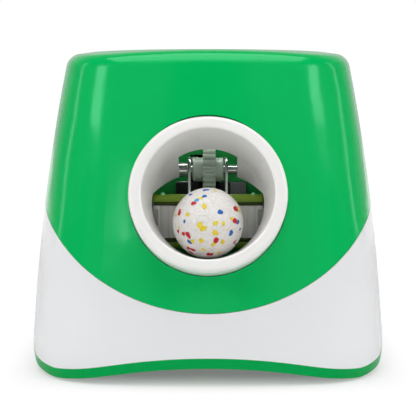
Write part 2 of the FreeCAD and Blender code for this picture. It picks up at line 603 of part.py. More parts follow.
def make_paddle():
    y0 = paddle_front()
    back = y0 + PADDLE_T
    pitch = 2 * PADDLE_HALF / FLUTE_COUNT
    valley = FLUTE_R - math.sqrt(FLUTE_R ** 2 - pitch ** 2 / 4)
    plate = box(-PADDLE_HALF, PADDLE_HALF, y0 + 1.1 * valley, back, PADDLE_LOW, PADDLE_HIGH)
    front = box(-PADDLE_HALF, PADDLE_HALF, y0 - 1, y0 + 2 * valley, PADDLE_LOW, PADDLE_HIGH)
    ribs = []
    for i in range(FLUTE_COUNT):
        x = (i + 0.5) * pitch - PADDLE_HALF
        ribs.append(rod(FLUTE_R, (x, y0 + FLUTE_R, PADDLE_LOW), (x, y0 + FLUTE_R, PADDLE_HIGH)).common(front))
    boss = box(WIRE_X - 4, WIRE_X + 4, back - 0.5, back + 2.4, PADDLE_LOW + 2.2, PADDLE_HIGH - 9)
    rail = box(-WIRE_X, WIRE_X, back - 0.5, back + 2.4, PADDLE_LOW + 2.2, PADDLE_LOW + 8.8)
    paddle = fuse([plate] + ribs + both_sides(boss) + [rail])
    for pad in make_pads().Solids:
        paddle = paddle.cut(pad)
    return paddle.cut(make_bail_wire())


def make_spring():
    """Torsion spring coiled on the shaft, with one leg to the left bracket and one to the bail."""
    x0, x1 = -BRACKET_X + SPRING_WIRE_R + CLEAR, -SLEEVE_END - SPRING_WIRE_R - CLEAR
    mean = SHAFT_R + 2 * SPRING_WIRE_R * 0.4 + SPRING_WIRE_R
    pitch = (x1 - x0) / SPRING_TURNS
    helix = Part.makeHelix(pitch, x1 - x0, mean)
    circle = Part.Wire(Part.makeCircle(SPRING_WIRE_R, Vector(mean, 0, 0), Y_AXIS))
    coil = Part.Wire(helix).makePipeShell([circle], True, True)
    coil.Placement = Placement(Vector(x0, PIVOT_Y, PIVOT_Z), Rotation(Y_AXIS, 90.0))
    return coil


# ---------------------------------------------------------------- gear train
def involute_tooth(module, teeth):
    """Outline of one tooth about +X, as root, flank, tip, flank points and edges."""
    pitch_r = module * teeth / 2
    base_r = pitch_r * math.cos(math.radians(20))
    tip_r, root_r = pitch_r + module, pitch_r - 1.25 * module
    half = math.pi / (2 * teeth) - BACKLASH / (4 * pitch_r)
    half += math.tan(math.radians(20)) - math.radians(20)

    def flank(radius):
        if radius <= base_r:
            return half
        roll = math.sqrt((radius / base_r) ** 2 - 1)
        return half - (roll - math.atan(roll))
    low = max(base_r, root_r)
    radii = [low + (tip_r - low) * i / 3 for i in range(4)]
    upper = [Vector(r * math.cos(flank(r)), r * math.sin(flank(r)), 0) for r in radii]
    root = Vector((root_r - 0.4) * math.cos(half), (root_r - 0.4) * math.sin(half), 0)
    lower = [Vector(p.x, -p.y, 0) for p in upper]

    def curve(points):
        spline = Part.BSplineCurve()
        spline.interpolate(points)
        return spline.toShape()
    edges = [Part.makeLine(root, upper[0]), curve(upper), Part.Arc(upper[-1], Vector(tip_r, 0, 0),
             lower[-1]).toShape(), curve(lower[::-1]),
             Part.makeLine(lower[0], Vector(root.x, -root.y, 0)),
             Part.makeLine(Vector(root.x, -root.y, 0), root)]
    return Part.Face(Part.Wire(Part.__sortEdges__(edges)))


def gear_along_x(module, teeth, x0, x1, y, z, first_angle, present=None):
    """Spur gear about X; first_angle is the first tooth's angle from +Y towards +Z."""
    root_r = module * teeth / 2 - 1.25 * module
    tooth = involute_tooth(module, teeth).extrude(Vector(0, 0, x1 - x0))
    body = Part.makeCylinder(root_r, x1 - x0)
    copies = []
    for i in range(present or teeth):
        copy = tooth.copy()
        copy.rotate(Vector(0, 0, 0), UP, i * 360.0 / teeth)
        copies.append(copy)
    gear = body.fuse(copies)
    gear.rotate(Vector(0, 0, 0), UP, first_angle)
    # local X, Y, Z become the object's Y, Z, X
    gear.Placement = Placement(Vector(x0, y, z), Rotation(Y_AXIS, UP, X_AXIS)).multiply(gear.Placement)
    return gear


def drive_y():
    return PIVOT_Y + MODULE * (STRIKER_TEETH + DRIVE_TEETH) / 2


def pinion_at():
    reach = WHEEL_MODULE * (WHEEL_TEETH + PINION_TEETH) / 2
    a = math.radians(MOTOR_ANGLE)
    return drive_y() + reach * math.cos(a), PIVOT_Z + reach * math.sin(a)


def make_striker_gear():
    x0, x1 = GEAR_X - GEAR_W / 2, GEAR_X + GEAR_W / 2
    gear = gear_along_x(MODULE, STRIKER_TEETH, x0, x1, PIVOT_Y, PIVOT_Z, 0.0)
    return gear.cut(rod_x(HUB_R, x0 - 1, x1 + 1, PIVOT_Y, PIVOT_Z))


def make_drive_gear():
    """Part-toothed drive gear and its wheel on one hub."""
    x0, x1 = GEAR_X - GEAR_W / 2, GEAR_X + GEAR_W / 2
    pitch = 360.0 / DRIVE_TEETH
    # gap on the line of centres; teeth run on from there, the rest of the rim is bare
    sector = gear_along_x(MODULE, DRIVE_TEETH, x0, x1, drive_y(), PIVOT_Z, 180.0 - 1.5 * pitch, 8)
    wheel_pitch = 360.0 / WHEEL_TEETH
    wheel = gear_along_x(WHEEL_MODULE, WHEEL_TEETH, WHEEL_X, WHEEL_X + WHEEL_W, drive_y(), PIVOT_Z,
                         MOTOR_ANGLE % wheel_pitch)
    hub = rod_x(DRIVE_HUB_R, WHEEL_X, x1 + 0.4, drive_y(), PIVOT_Z)
    gear = fuse([sector, wheel, hub])
    return gear.cut(rod_x(DRIVE_SHAFT_R, BOX_LEFT, BOX_RIGHT, drive_y(), PIVOT_Z))


def make_drive_shaft():
    return rod_x(DRIVE_SHAFT_R, BOX_LEFT, BOX_RIGHT, drive_y(), PIVOT_Z)


def make_motor_pinion():
    y, z = pinion_at()
    pitch = 360.0 / PINION_TEETH
    pinion = gear_along_x(WHEEL_MODULE, PINION_TEETH, WHEEL_X - 0.5, WHEEL_X + WHEEL_W + 1.5, y, z,
                          MOTOR_ANGLE + 180.0 + pitch / 2)
    shaft = rod_x(MOTOR_SHAFT_R, BOX_LEFT - 4, WHEEL_X + WHEEL_W + 2.5, y, z)
    return fuse([pinion, shaft])


def make_motor_can():
    y, z = pinion_at()
    x1 = BOX_LEFT
    can = rod_x(MOTOR_R, x1 - MOTOR_LEN, x1, y, z)
    can = can.makeFillet(1.5, [e for e in can.Edges if e.Closed and e.CenterOfMass.x < x1 - 1])
    tail = rod_x(4.5, x1 - MOTOR_LEN - 2.5, x1 - MOTOR_LEN + 1, y, z)
    can = can.fuse(tail)
    flats = [box(x1 - MOTOR_LEN - 3, x1 - 4, y - MOTOR_R - 1, y + MOTOR_R + 1, z + s * (MOTOR_R - 1.8)
                 - (4 if s < 0 else 0), z + s * (MOTOR_R - 1.8) + (4 if s > 0 else 0)) for s in (-1, 1)]
    can = can.cut(flats[0]).cut(flats[1])
    return can.cut(rod_x(MOTOR_SHAFT_R + SHAFT_FIT, x1 - 4.4, x1 + 1, y, z))


def gearbox_halves():
    """Case and cover: low in front of the bulkhead, full height behind it."""
    behind = bulkhead_y() + BULKHEAD_T + CLEAR
    low = box(BOX_LEFT, BOX_RIGHT, BOX_FRONT, behind + 1, BOX_LOW, BOX_LIP)
    high = box(BOX_LEFT, BOX_RIGHT, behind, BOX_BACK, BOX_LOW, BOX_HIGH)
    full = low.fuse(high).removeSplitter()
    inner_low = box(BOX_LEFT + BOX_T, BOX_RIGHT - BOX_T, BOX_FRONT + BOX_T, BOX_BACK - BOX_T, BOX_LOW + BOX_T, BOX_LIP - BOX_T)
    inner_high = box(BOX_LEFT + BOX_T, BOX_RIGHT - BOX_T, behind + BOX_T, BOX_BACK - BOX_T, BOX_LOW + BOX_T, BOX_HIGH + 1)
    tray = full.cut(inner_low.fuse(inner_high))
    # slots where the two gears stand out, and the bearing holes
    slot_low = BOX_LOW + BOX_T
    tray = tray.cut(box(BOX_SLOT, BOX_SLOT_END, BOX_FRONT - 4, behind + BOX_T + 1, slot_low, BOX_HIGH + 1))
    tray = tray.cut(box(WHEEL_X - 1, BOX_SLOT + 1, behind - 1, behind + BOX_T + 1, BOX_LIP, BOX_HIGH + 1))
    tray = tray.cut(rod_x(DRIVE_SHAFT_R + SHAFT_FIT, BOX_LEFT - 1, BOX_RIGHT + 1, drive_y(), PIVOT_Z))
    y, z = pinion_at()
    tray = tray.cut(rod_x(MOTOR_SHAFT_R + 0.4, BOX_LEFT - 1, BOX_LEFT + BOX_T + 1, y, z))
    parting = box(BOX_LEFT - 1, BOX_SPLIT, BOX_FRONT - 1, BOX_BACK + 1, BOX_LOW - 1, BOX_HIGH + 1)
    return tray.common(parting), tray.cut(parting)


# ---------------------------------------------------------------- hopper and feed
def make_bowl():
    def funnel(grow, lift):
        top = Part.Wire(Part.makeCircle(BOWL_R + grow, Vector(0, 0, BOWL_TOP + lift)))
        low = Part.Wire(Part.makeCircle(FEED_R + grow, Vector(DRAIN_X, DRAIN_Y, BOWL_LOW + lift)))
        return Part.makeLoft([top, low], True, True)
    skin = funnel(BOWL_T, -BOWL_T)
    flange = rod(BOWL_RIM_R, (0, 0, BOWL_TOP - BOWL_T), (0, 0, BOWL_TOP))
    spigot = rod(FEED_R + BOWL_T, (DRAIN_X, DRAIN_Y, DRAIN_Z), (DRAIN_X, DRAIN_Y, BOWL_LOW))
    bowl = fuse([skin, flange, spigot])
    bowl = bowl.cut(funnel(0, 0))
    bowl = bowl.cut(rod(FEED_R, (DRAIN_X, DRAIN_Y, DRAIN_Z - 1), (DRAIN_X, DRAIN_Y, BOWL_LOW + 1)))
    rim = [e for e in bowl.Edges if e.Closed and isinstance(e.Curve, Part.Circle)
           and abs(e.Curve.Radius - BOWL_R) < 1e-3 and abs(e.Curve.Center.z - BOWL_TOP) < 1e-3]
    return bowl.makeFillet(1.0, rim) if rim else bowl


def feed_line(radius, ends=0.0):
    """Round line through the feed's points: drop, slope, run forward, turn in to the gate."""
    points = [Vector(DRAIN_X, DRAIN_Y, DRAIN_Z + ends), Vector(DRAIN_X, DRAIN_Y, DRAIN_Z - FEED_BEND),
              Vector(TURN_X, TURN_Y, TURN_Z), Vector(ENTRY_X, ENTRY_Y, ENTRY_Z),
              Vector(BRACKET_X + BRACKET_T - ends, GATE_Y, GATE_Z)]
    pieces = [rod(radius, a, b) for a, b in zip(points, points[1:])]
    pieces += [Part.makeSphere(radius, p) for p in points[1:-1]]
    return pieces[0].fuse(pieces[1:])


def feed_pipe():
    pipe = feed_line(FEED_R + FEED_T).cut(feed_line(FEED_R, 1.0))
    wall, reach = BRACKET_X + BRACKET_T, BASE_HALF
    pipe = pipe.cut(box(-reach, wall, -reach, reach, 0, HEIGHT))
    return pipe.cut(box(-reach, reach, -reach, reach, DRAIN_Z, HEIGHT))


def feed_halves():
    """The feed pipe parted square to its sloping run."""
    top = Vector(DRAIN_X, DRAIN_Y, DRAIN_Z - FEED_BEND)
    turn = Vector(TURN_X, TURN_Y, TURN_Z)
    normal = (turn - top).normalize()
    cut = Part.makeCylinder(4 * FEED_R, 4 * FEED_R, top + (turn - top) * 0.42, normal)
    pipe = feed_pipe()
    return pipe.cut(cut), pipe.common(cut)


# ---------------------------------------------------------------- rear panel and electronics
def panel_y(inset):
    return half_width(PANEL_Z) - inset


def make_panel():
    skin = housing_form(0).cut(housing_form(WALL + 0.5))
    plate = skin.common(stadium(PANEL_HALF, PANEL_R, BASE_HALF / 2, BASE_HALF * 1.2, PANEL_Z))
    grow = PANEL_FLANGE
    flange = housing_form(WALL).cut(housing_form(WALL + 2))
    flange = flange.common(stadium(PANEL_HALF + grow, PANEL_R + grow, BASE_HALF / 2, BASE_HALF * 1.2, PANEL_Z))
    panel = plate.fuse(flange)
    y0, y1 = board_y(), panel_y(WALL + 1.2)
    for x in (-PANEL_HALF + 4.5, PANEL_HALF - 4.5):
        panel = panel.fuse(rod_y(2.2, y0, y1, x, PANEL_Z))
    far = BASE_HALF * 1.2
    for x in BUTTON_XS:
        panel = panel.cut(rod_y(BUTTON_R + CLEAR, y0, far, x, PANEL_Z))
    panel = panel.cut(rod_y(LENS_R, y0, far, LENS_X, PANEL_Z))
    return panel.cut(rod_y(JACK_R, y0, far, JACK_X, PANEL_Z))


def board_y():
    """Outer face of the circuit board."""
    return panel_y(WALL + 2) - BOARD_BACK


def make_board():
    y = board_y()
    board = box(-PANEL_HALF + 2, PANEL_HALF - 2, y - BOARD_T, y, PANEL_Z - PANEL_R + 1, PANEL_Z + PANEL_R - 1)
    switches = [box(x - 3, x + 3, y - 0.2, y + 3.4, PANEL_Z - 3, PANEL_Z + 3) for x in BUTTON_XS]
    chip = box(-13, -5, y - BOARD_T - 1.6, y - BOARD_T + 0.2, PANEL_Z - 5, PANEL_Z + 3)
    can = rod_y(4.0, y - BOARD_T - 9, y - BOARD_T + 0.2, LENS_X, PANEL_Z + 4)
    return fuse([board, chip, can] + switches)


def make_button(x):
    face = panel_y(0) + BUTTON_PROUD
    inner = board_y() + 3.4 + BUTTON_TRAVEL + CLEAR
    button = rod_y(BUTTON_R, inner, face, x, PANEL_Z)
    edge = [e for e in button.Edges if e.Closed and e.CenterOfMass.y > face - 1e-3]
    button = button.makeFillet(0.8, edge)
    stop = panel_y(WALL + 2) - PANEL_SAG - CLEAR
    return button.fuse(rod_y(BUTTON_R + 1.4, stop - 1.2, stop, x, PANEL_Z))


def make_lens():
    lens = rod_y(LENS_R, board_y(), panel_y(0) + 0.3, LENS_X, PANEL_Z)
    return lens.fuse(Part.makeSphere(LENS_R, Vector(LENS_X, panel_y(0) + 0.3 - LENS_R * 0.72, PANEL_Z)))


def make_jack():
    y1 = panel_y(0) + 0.4
    jack = rod_y(JACK_R, board_y(), y1, JACK_X, PANEL_Z)
    return jack.cut(rod_y(JACK_BORE_R, y1 - JACK_DEPTH, y1 + 1, JACK_X, PANEL_Z))


# ---------------------------------------------------------------- assembly
def build():
    outer, inner = housing_form(0), housing_form(WALL)
    case, cover = gearbox_halves()
    throat, elbow = feed_halves()
    return {
        "base_pan": make_base_pan(outer), "battery_door": make_battery_door(),
        "battery_tray": make_battery_tray(), "battery_cells": make_cells(),
        "lower_shell": make_lower_shell(outer, inner), "upper_shell": make_upper_shell(outer, inner),
        "rubber_feet": make_feet(), "case_screws": make_screws(),
        "hopper_bowl": make_bowl(), "feed_throat": throat, "feed_elbow": elbow,
        "launch_tube": make_launch_tube(), "chamber_floor": make_chamber_floor(),
        "side_bracket_left": make_bracket(False), "side_bracket_right": make_bracket(True),
        "rear_bulkhead": make_bulkhead(),
        "stop_bumpers": make_bumpers(), "ball": make_ball(),
        "striker_shaft": make_striker_shaft(), "shaft_sleeve": make_sleeve(),
        "shaft_clips": make_clips(),
        "striker_hub": make_striker_hub(), "striker_gear": make_striker_gear(),
        "striker_bail": make_bail_wire(), "striker_paddle": make_paddle(), "paddle_pads": make_pads(),
        "torsion_spring": make_spring(),
        "drive_gear": make_drive_gear(), "drive_shaft": make_drive_shaft(),
        "gearbox_case": case, "gearbox_cover": cover,
        "motor_can": make_motor_can(), "motor_pinion": make_motor_pinion(),
        "control_panel": make_panel(), "circuit_board": make_board(),
        "power_button": make_button(BUTTON_XS[0]), "distance_button": make_button(BUTTON_XS[1]),
        "indicator_lens": make_lens(), "dc_jack": make_jack(),
    }


def front_reach():
    """How far the ring's lower rim stands forward of the housing's centre line."""
    c, s = math.cos(math.radians(TILT)), math.sin(math.radians(TILT))
    lip = LIP_ROUND - 0.2
    return -(RING_Y + lip * c - (RING_R - lip) * s - lip)


def main():
    os.makedirs("parts", exist_ok=True)
    shift = Vector(0, (front_reach() - BASE_HALF) / 2, FOOT_PROUD)
    print("shift", [round(v, 4) for v in shift])
    for name, shape in build().items():
        shape = shape.copy()
        shape.translate(shift)
        good = shape.isValid() and len(shape.Solids) > 0
        print(f"{name:20s} {'ok ' if good else 'BAD'} solids {len(shape.Solids)} "
              f"faces {len(shape.Faces)} volume {shape.Volume:.1f}")
        shape.exportStep(f"parts/{name}.step")
    for name, (y, z) in {"pivot": (PIVOT_Y, PIVOT_Z), "drive": (drive_y(), PIVOT_Z),
                         "pinion": pinion_at(), "ball": ball_centre()}.items():
        print(f"KEY {name} {y + shift.y:.4f} {z + shift.z:.4f}")
    print(f"KEY hinge {BAY_Y0 + shift.y:.4f} {hinge_z() + shift.z:.4f}")


main()
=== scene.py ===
"""Automatic ball launcher: finishes, fine pieces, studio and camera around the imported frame."""
import json
import logging
import math
import random
from dataclasses import dataclass, field, replace
from enum import Enum
from typing import Callable, Sequence

import bmesh
import bpy
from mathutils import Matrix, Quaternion, Vector, noise


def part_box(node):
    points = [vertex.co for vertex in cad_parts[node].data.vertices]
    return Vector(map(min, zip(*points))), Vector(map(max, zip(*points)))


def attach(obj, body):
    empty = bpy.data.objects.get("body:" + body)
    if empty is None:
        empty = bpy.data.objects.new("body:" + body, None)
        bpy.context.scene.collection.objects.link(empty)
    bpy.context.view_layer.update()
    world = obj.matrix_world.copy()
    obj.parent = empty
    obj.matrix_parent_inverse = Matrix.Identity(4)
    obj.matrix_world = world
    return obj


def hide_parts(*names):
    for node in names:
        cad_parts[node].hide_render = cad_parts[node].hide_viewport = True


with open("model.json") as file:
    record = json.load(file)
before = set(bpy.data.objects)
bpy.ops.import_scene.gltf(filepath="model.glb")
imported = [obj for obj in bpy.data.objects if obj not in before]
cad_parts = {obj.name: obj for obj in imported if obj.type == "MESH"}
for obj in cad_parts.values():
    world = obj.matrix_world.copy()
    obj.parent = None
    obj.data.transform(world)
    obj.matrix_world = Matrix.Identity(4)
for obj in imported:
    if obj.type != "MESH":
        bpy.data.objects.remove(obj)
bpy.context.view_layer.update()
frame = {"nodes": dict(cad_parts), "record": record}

log = logging.getLogger("launcher")

Colour = tuple[float, float, float]
Place = tuple[float, float, float]
Span = tuple[float, float]
Profile = Sequence[tuple[float, float]]
Link = bpy.types.NodeSocket
NodeGroup = bpy.types.ShaderNodeTree
Material = bpy.types.Material
Piece = bpy.types.Object
Work = bmesh.types.BMesh
Ring = Sequence[bmesh.types.BMVert]
Finishes = dict[str, Material]

WHITE = (1, 1, 1, 1)
ALONG_X = Vector((1, 0, 0))
ALONG_Y = Vector((0, 1, 0))
UPWARD = Vector((0, 0, 1))


class Effect(Enum):
    """Shared surface effects, each a shader node group."""

    MOULDED_SKIN = "moulded_skin"
    FINE_GRAIN = "fine_grain"
    HANDLING = "handling_marks"
    BRUSHED = "brushed_streaks"


def srgb(red: int, green: int, blue: int) -> Colour:
    """Turns an eight-bit display colour into a linear one by the standard display curve.

    Args:
        red, green, blue: Channel values from 0 to 255.

    Returns:
        The linear colour.
    """
    def linear(value: int) -> float:
        """Turns one channel."""
        share = value / 255
        return share / 12.92 if share <= 0.04045 else ((share + 0.055) / 1.055) ** 2.4
    return linear(red), linear(green), linear(blue)


# ---------------------------------------------------------------- shader nodes
class NodeWiring:
    """Adds and joins the nodes of one shader tree."""

    def __init__(self, tree: bpy.types.NodeTree) -> None:
        """Keeps the tree."""
        self.tree = tree

    def node(self, kind: str, sockets: dict[str, object] | None = None,
             **settings: object) -> bpy.types.Node:
        """Adds a node and sets its plain attributes, then its input sockets.

        Args:
            kind: Blender's node type.
            sockets: Values of input sockets by their names.
            settings: Attributes of the node.

        Returns:
            The node.
        """
        made = self.tree.nodes.new(kind)
        for label, value in settings.items():
            setattr(made, label, value)
        for label, value in (sockets or {}).items():
            made.inputs[label].default_value = value
        return made

    def link(self, out: Link, into: Link) -> None:
        """Joins two sockets."""
        self.tree.links.new(out, into)

    def feed(self, value: Link | float, into: Link) -> None:
        """Sets a socket to a plain number, or joins another socket to it.

        Args:
            value: The number or the other socket.
            into: The socket that takes it.
        """
        if isinstance(value, (int, float)):
            into.default_value = value
        else:
            self.link(value, into)

    def maths(self, operation: str, first: Link | float, second: Link | float) -> Link:
        """Adds a Math node.

        Args:
            operation: Blender's operation name.
            first, second: Sockets or plain numbers.

        Returns:
            The result socket.
        """
        made = self.node("ShaderNodeMath", operation=operation)
        self.feed(first, made.inputs[0])
        self.feed(second, made.inputs[1])
        return made.outputs[0]

    def ramp(self, value: Link, span: Span, onto: Span, curve: str = "LINEAR") -> Link:
        """Maps a value's range onto another, clamped at both ends.

        Args:
            value: Socket of the value.
            span: Its range.
            onto: What the range's two ends become.
            curve: Blender's name for the way between them.

        Returns:
            The result socket.
        """
        ends = dict(zip(("From Min", "From Max", "To Min", "To Max"), (*span, *onto)))
        made = self.node("ShaderNodeMapRange", ends, interpolation_type=curve)
        self.link(value, made.inputs["Value"])
        return made.outputs["Result"]


class GroupBuilder(NodeWiring):
    """Builds one shader node group with named sockets."""

    def __init__(self, which: Effect, inputs: dict[str, float], outputs: Sequence[str]) -> None:
        """Makes the group and its sockets.

        Args:
            which: The effect that it holds.
            inputs: Float inputs and their defaults.
            outputs: Names of the float outputs.
        """
        super().__init__(bpy.data.node_groups.new(which.value, "ShaderNodeTree"))
        for label, default in inputs.items():
            self.socket(label, "INPUT").default_value = default
        for label in outputs:
            self.socket(label, "OUTPUT")
        self.source = self.node("NodeGroupInput")
        self.sink = self.node("NodeGroupOutput")

    def socket(self, label: str, side: str) -> bpy.types.NodeTreeInterfaceSocket:
        """Adds one float socket to the group's INPUT or OUTPUT side."""
        return self.tree.interface.new_socket(name=label, in_out=side,
                                              socket_type="NodeSocketFloat")

    def noise(self, scale: Link | float, detail: float, rough: float = 0.5) -> Link:
        """Adds object-space noise.

        Args:
            scale: Waves to the metre, as a number or a socket.
            detail: How many finer layers it has.
            rough: How strong each finer layer is.

        Returns:
            The noise's value.
        """
        place = self.node("ShaderNodeTexCoord")
        made = self.node("ShaderNodeTexNoise", {"Detail": detail, "Roughness": rough})
        self.feed(scale, made.inputs["Scale"])
        self.link(place.outputs["Object"], made.inputs["Vector"])
        return made.outputs["Fac"]


class SharedEffects:
    """Every shared shader group, each built once."""

    # noise values that lie in the middle, and the band round it that is stretched to full effect
    noise_middle: float = 0.5
    noise_band: Span = (0.3, 0.7)
    # noise values at which a handling smear starts and is full
    smear_band: Span = (0.52, 0.72)
    # how far the grain and the brushing move the roughness up and down
    grain_spread: float = 0.05
    brushed_spread: float = 0.06

    def __init__(self) -> None:
        """Builds all groups."""
        self.groups: dict[Effect, NodeGroup] = {
            Effect.MOULDED_SKIN: self._moulded_skin(), Effect.FINE_GRAIN: self._fine_grain(),
            Effect.HANDLING: self._handling(), Effect.BRUSHED: self._brushed()}

    def _moulded_skin(self) -> NodeGroup:
        """Slow colour drift of a moulding: a tint factor and a long-waved height.

        Returns:
            The group.
        """
        build = GroupBuilder(Effect.MOULDED_SKIN, {"Scale": 18.0, "Strength": 0.05, "Waves": 16.0},
                             ("Tint", "Height"))
        given, sink = build.source.outputs, build.sink.inputs
        drift = build.noise(given["Scale"], detail=2.0)
        centred = build.maths("SUBTRACT", drift, self.noise_middle)
        tint = build.maths("MULTIPLY", centred, given["Strength"])
        build.link(build.maths("ADD", tint, 1.0), sink["Tint"])
        build.link(build.noise(given["Waves"], detail=1.0), sink["Height"])
        return build.tree

    def _fine_grain(self) -> NodeGroup:
        """Fine spark-eroded texture: a height and a roughness spread.

        Returns:
            The group.
        """
        build = GroupBuilder(Effect.FINE_GRAIN, {"Scale": 2200.0}, ("Height", "Spread"))
        grain = build.noise(build.source.outputs["Scale"], detail=3.0, rough=0.6)
        spread = build.ramp(grain, self.noise_band, (-self.grain_spread, self.grain_spread))
        build.link(grain, build.sink.inputs["Height"])
        build.link(spread, build.sink.inputs["Spread"])
        return build.tree

    def _handling(self) -> NodeGroup:
        """Faint handling smears: a roughness amount.

        Returns:
            The group.
        """
        build = GroupBuilder(Effect.HANDLING, {"Scale": 26.0, "Amount": 0.04}, ("Roughness",))
        broad = build.noise(build.source.outputs["Scale"], detail=4.0, rough=0.65)
        smear = build.ramp(broad, self.smear_band, (0.0, 1.0))
        amount = build.maths("MULTIPLY", smear, build.source.outputs["Amount"])
        build.link(amount, build.sink.inputs["Roughness"])
        return build.tree

    def _brushed(self) -> NodeGroup:
        """Fine streaks round or along a metal piece: a roughness spread and a height.

        Returns:
            The group.
        """
        build = GroupBuilder(Effect.BRUSHED, {"Along": 60.0, "Across": 2600.0},
                             ("Spread", "Height"))
        given, sink = build.source.outputs, build.sink.inputs
        place = build.node("ShaderNodeTexCoord")
        stretch = build.node("ShaderNodeCombineXYZ")
        for label, into in zip(("Across", "Along", "Along"), stretch.inputs):
            build.link(given[label], into)
        scaled = build.node("ShaderNodeVectorMath", operation="MULTIPLY")
        build.link(place.outputs["Object"], scaled.inputs[0])
        build.link(stretch.outputs[0], scaled.inputs[1])
        streak = build.node("ShaderNodeTexNoise", {"Scale": 1.0, "Detail": 2.0})
        build.link(scaled.outputs[0], streak.inputs["Vector"])
        spread = build.ramp(streak.outputs["Fac"], self.noise_band,
                            (-self.brushed_spread, self.brushed_spread))
        build.link(spread, sink["Spread"])
        build.link(streak.outputs["Fac"], sink["Height"])
        return build.tree


# ---------------------------------------------------------------- finishes
class MaterialBuilder(NodeWiring):
    """Wires one material round a Principled shader."""

    def __init__(self, name: str, effects: SharedEffects) -> None:
        """Makes the material.

        Args:
            name: Material name.
            effects: The shared groups that it can place.
        """
        self.material = bpy.data.materials.new(name)
        self.material.use_nodes = True
        super().__init__(self.material.node_tree)
        self.shader = self.tree.nodes["Principled BSDF"]
        self.effects = effects

    def constants(self, **values: object) -> None:
        """Sets shader sockets by name, with underscores for spaces."""
        for label, value in values.items():
            self.shader.inputs[label.replace("_", " ")].default_value = value

    def effect(self, which: Effect, **values: float) -> bpy.types.Node:
        """Places a shared group with its own values."""
        return self.node("ShaderNodeGroup", values, node_tree=self.effects.groups[which])

    def tinted(self, colour: Colour, tint: Link) -> None:
        """Feeds Base Color with a colour scaled by a slowly changing factor.

        Args:
            colour: The colour at a factor of one.
            tint: The factor's socket.
        """
        plain = self.node("ShaderNodeRGB")
        plain.outputs[0].default_value = (*colour, 1.0)
        scaled = self.node("ShaderNodeVectorMath", operation="SCALE")
        self.link(plain.outputs[0], scaled.inputs[0])
        self.link(tint, scaled.inputs["Scale"])
        self.link(scaled.outputs[0], self.shader.inputs["Base Color"])

    def roughness(self, base: float, *parts: Link) -> None:
        """Feeds Roughness with a base value plus changing parts.

        Args:
            base: The value that the parts are added to.
            parts: Sockets of the parts.
        """
        total: Link | float = base
        for part in parts:
            add = self.node("ShaderNodeMath", operation="ADD", use_clamp=True)
            self.feed(total, add.inputs[0])
            self.link(part, add.inputs[1])
            total = add.outputs[0]
        self.feed(total, self.shader.inputs["Roughness"])

    def bump(self, height: Link, distance: float, over: Link | None = None) -> Link:
        """Feeds Normal from a height.

        Args:
            height: The height's socket.
            distance: Metres for a height of one.
            over: Normal of a coarser bump that this one lies on.

        Returns:
            The new normal.
        """
        made = self.node("ShaderNodeBump", {"Distance": distance})
        self.link(height, made.inputs["Height"])
        if over is not None:
            self.link(over, made.inputs["Normal"])
        self.link(made.outputs["Normal"], self.shader.inputs["Normal"])
        return made.outputs["Normal"]


@dataclass(frozen=True)
class PlasticFinish:
    """A moulded plastic or rubber: colour drift, handling smears and a moulded texture."""

    name: str
    colour: Colour
    roughness: float
    drift: float = 0.06
    grain: float = 0.00002
    smear: float = 0.04
    coat: float = 0.0
    coat_roughness: float = 0.06
    specular: float = 0.5
    subsurface: float = 0.0
    scatter_depth: float = 0.004
    scatter_tint: Colour = (1.0, 1.0, 0.9)
    sheen: float = 0.0
    waves: float = 0.0
    # what straight-on reflections take on from the pigment under a thin skin
    reflects: Colour = (1.0, 1.0, 1.0)

    def make(self, effects: SharedEffects) -> Material:
        """Builds the material.

        Args:
            effects: The shared groups.

        Returns:
            The material.
        """
        build = MaterialBuilder(self.name, effects)
        skin = build.effect(Effect.MOULDED_SKIN, Strength=self.drift)
        grain = build.effect(Effect.FINE_GRAIN)
        marks = build.effect(Effect.HANDLING, Amount=self.smear)
        build.tinted(self.colour, skin.outputs["Tint"])
        build.roughness(self.roughness, grain.outputs["Spread"], marks.outputs["Roughness"])
        wavy = build.bump(skin.outputs["Height"], self.waves) if self.waves else None
        build.bump(grain.outputs["Height"], self.grain, wavy)
        build.constants(Coat_Weight=self.coat, Coat_Roughness=self.coat_roughness,
                        Specular_IOR_Level=self.specular, Specular_Tint=(*self.reflects, 1.0),
                        Subsurface_Weight=self.subsurface, Sheen_Weight=self.sheen)
        if self.subsurface:
            build.constants(Subsurface_Scale=self.scatter_depth,
                            Subsurface_Radius=self.scatter_tint)
        return build.material


@dataclass(frozen=True)
class MetalFinish:
    """A metal with fine streaks."""

    name: str
    colour: Colour
    roughness: float
    along: float = 60.0
    streak: float = 0.000004
    metallic: float = 1.0
    drift: float = 0.05
    smear: float = 0.08

    def make(self, effects: SharedEffects) -> Material:
        """Builds the material.

        Args:
            effects: The shared groups.

        Returns:
            The material.
        """
        build = MaterialBuilder(self.name, effects)
        skin = build.effect(Effect.MOULDED_SKIN, Strength=self.drift)
        streaks = build.effect(Effect.BRUSHED, Along=self.along)
        marks = build.effect(Effect.HANDLING, Amount=self.smear)
        build.tinted(self.colour, skin.outputs["Tint"])
        build.roughness(self.roughness, streaks.outputs["Spread"], marks.outputs["Roughness"])
        build.bump(streaks.outputs["Height"], self.streak)
        build.constants(Metallic=self.metallic)
        return build.material


@dataclass(frozen=True)
class LensFinish:
    """A small frosted clear lens."""

    name: str
    colour: Colour
    roughness: float = 0.3
    grain_scale: float = 3000.0
    clearness: float = 0.6
    ior: float = 1.49

    def make(self, effects: SharedEffects) -> Material:
        """Builds the material.

        Args:
            effects: The shared groups.

        Returns:
            The material.
        """
        build = MaterialBuilder(self.name, effects)
        grain = build.effect(Effect.FINE_GRAIN, Scale=self.grain_scale)
        build.roughness(self.roughness, grain.outputs["Spread"])
        build.constants(Base_Color=(*self.colour, 1.0), Transmission_Weight=self.clearness,
                        IOR=self.ior)
        return build.material


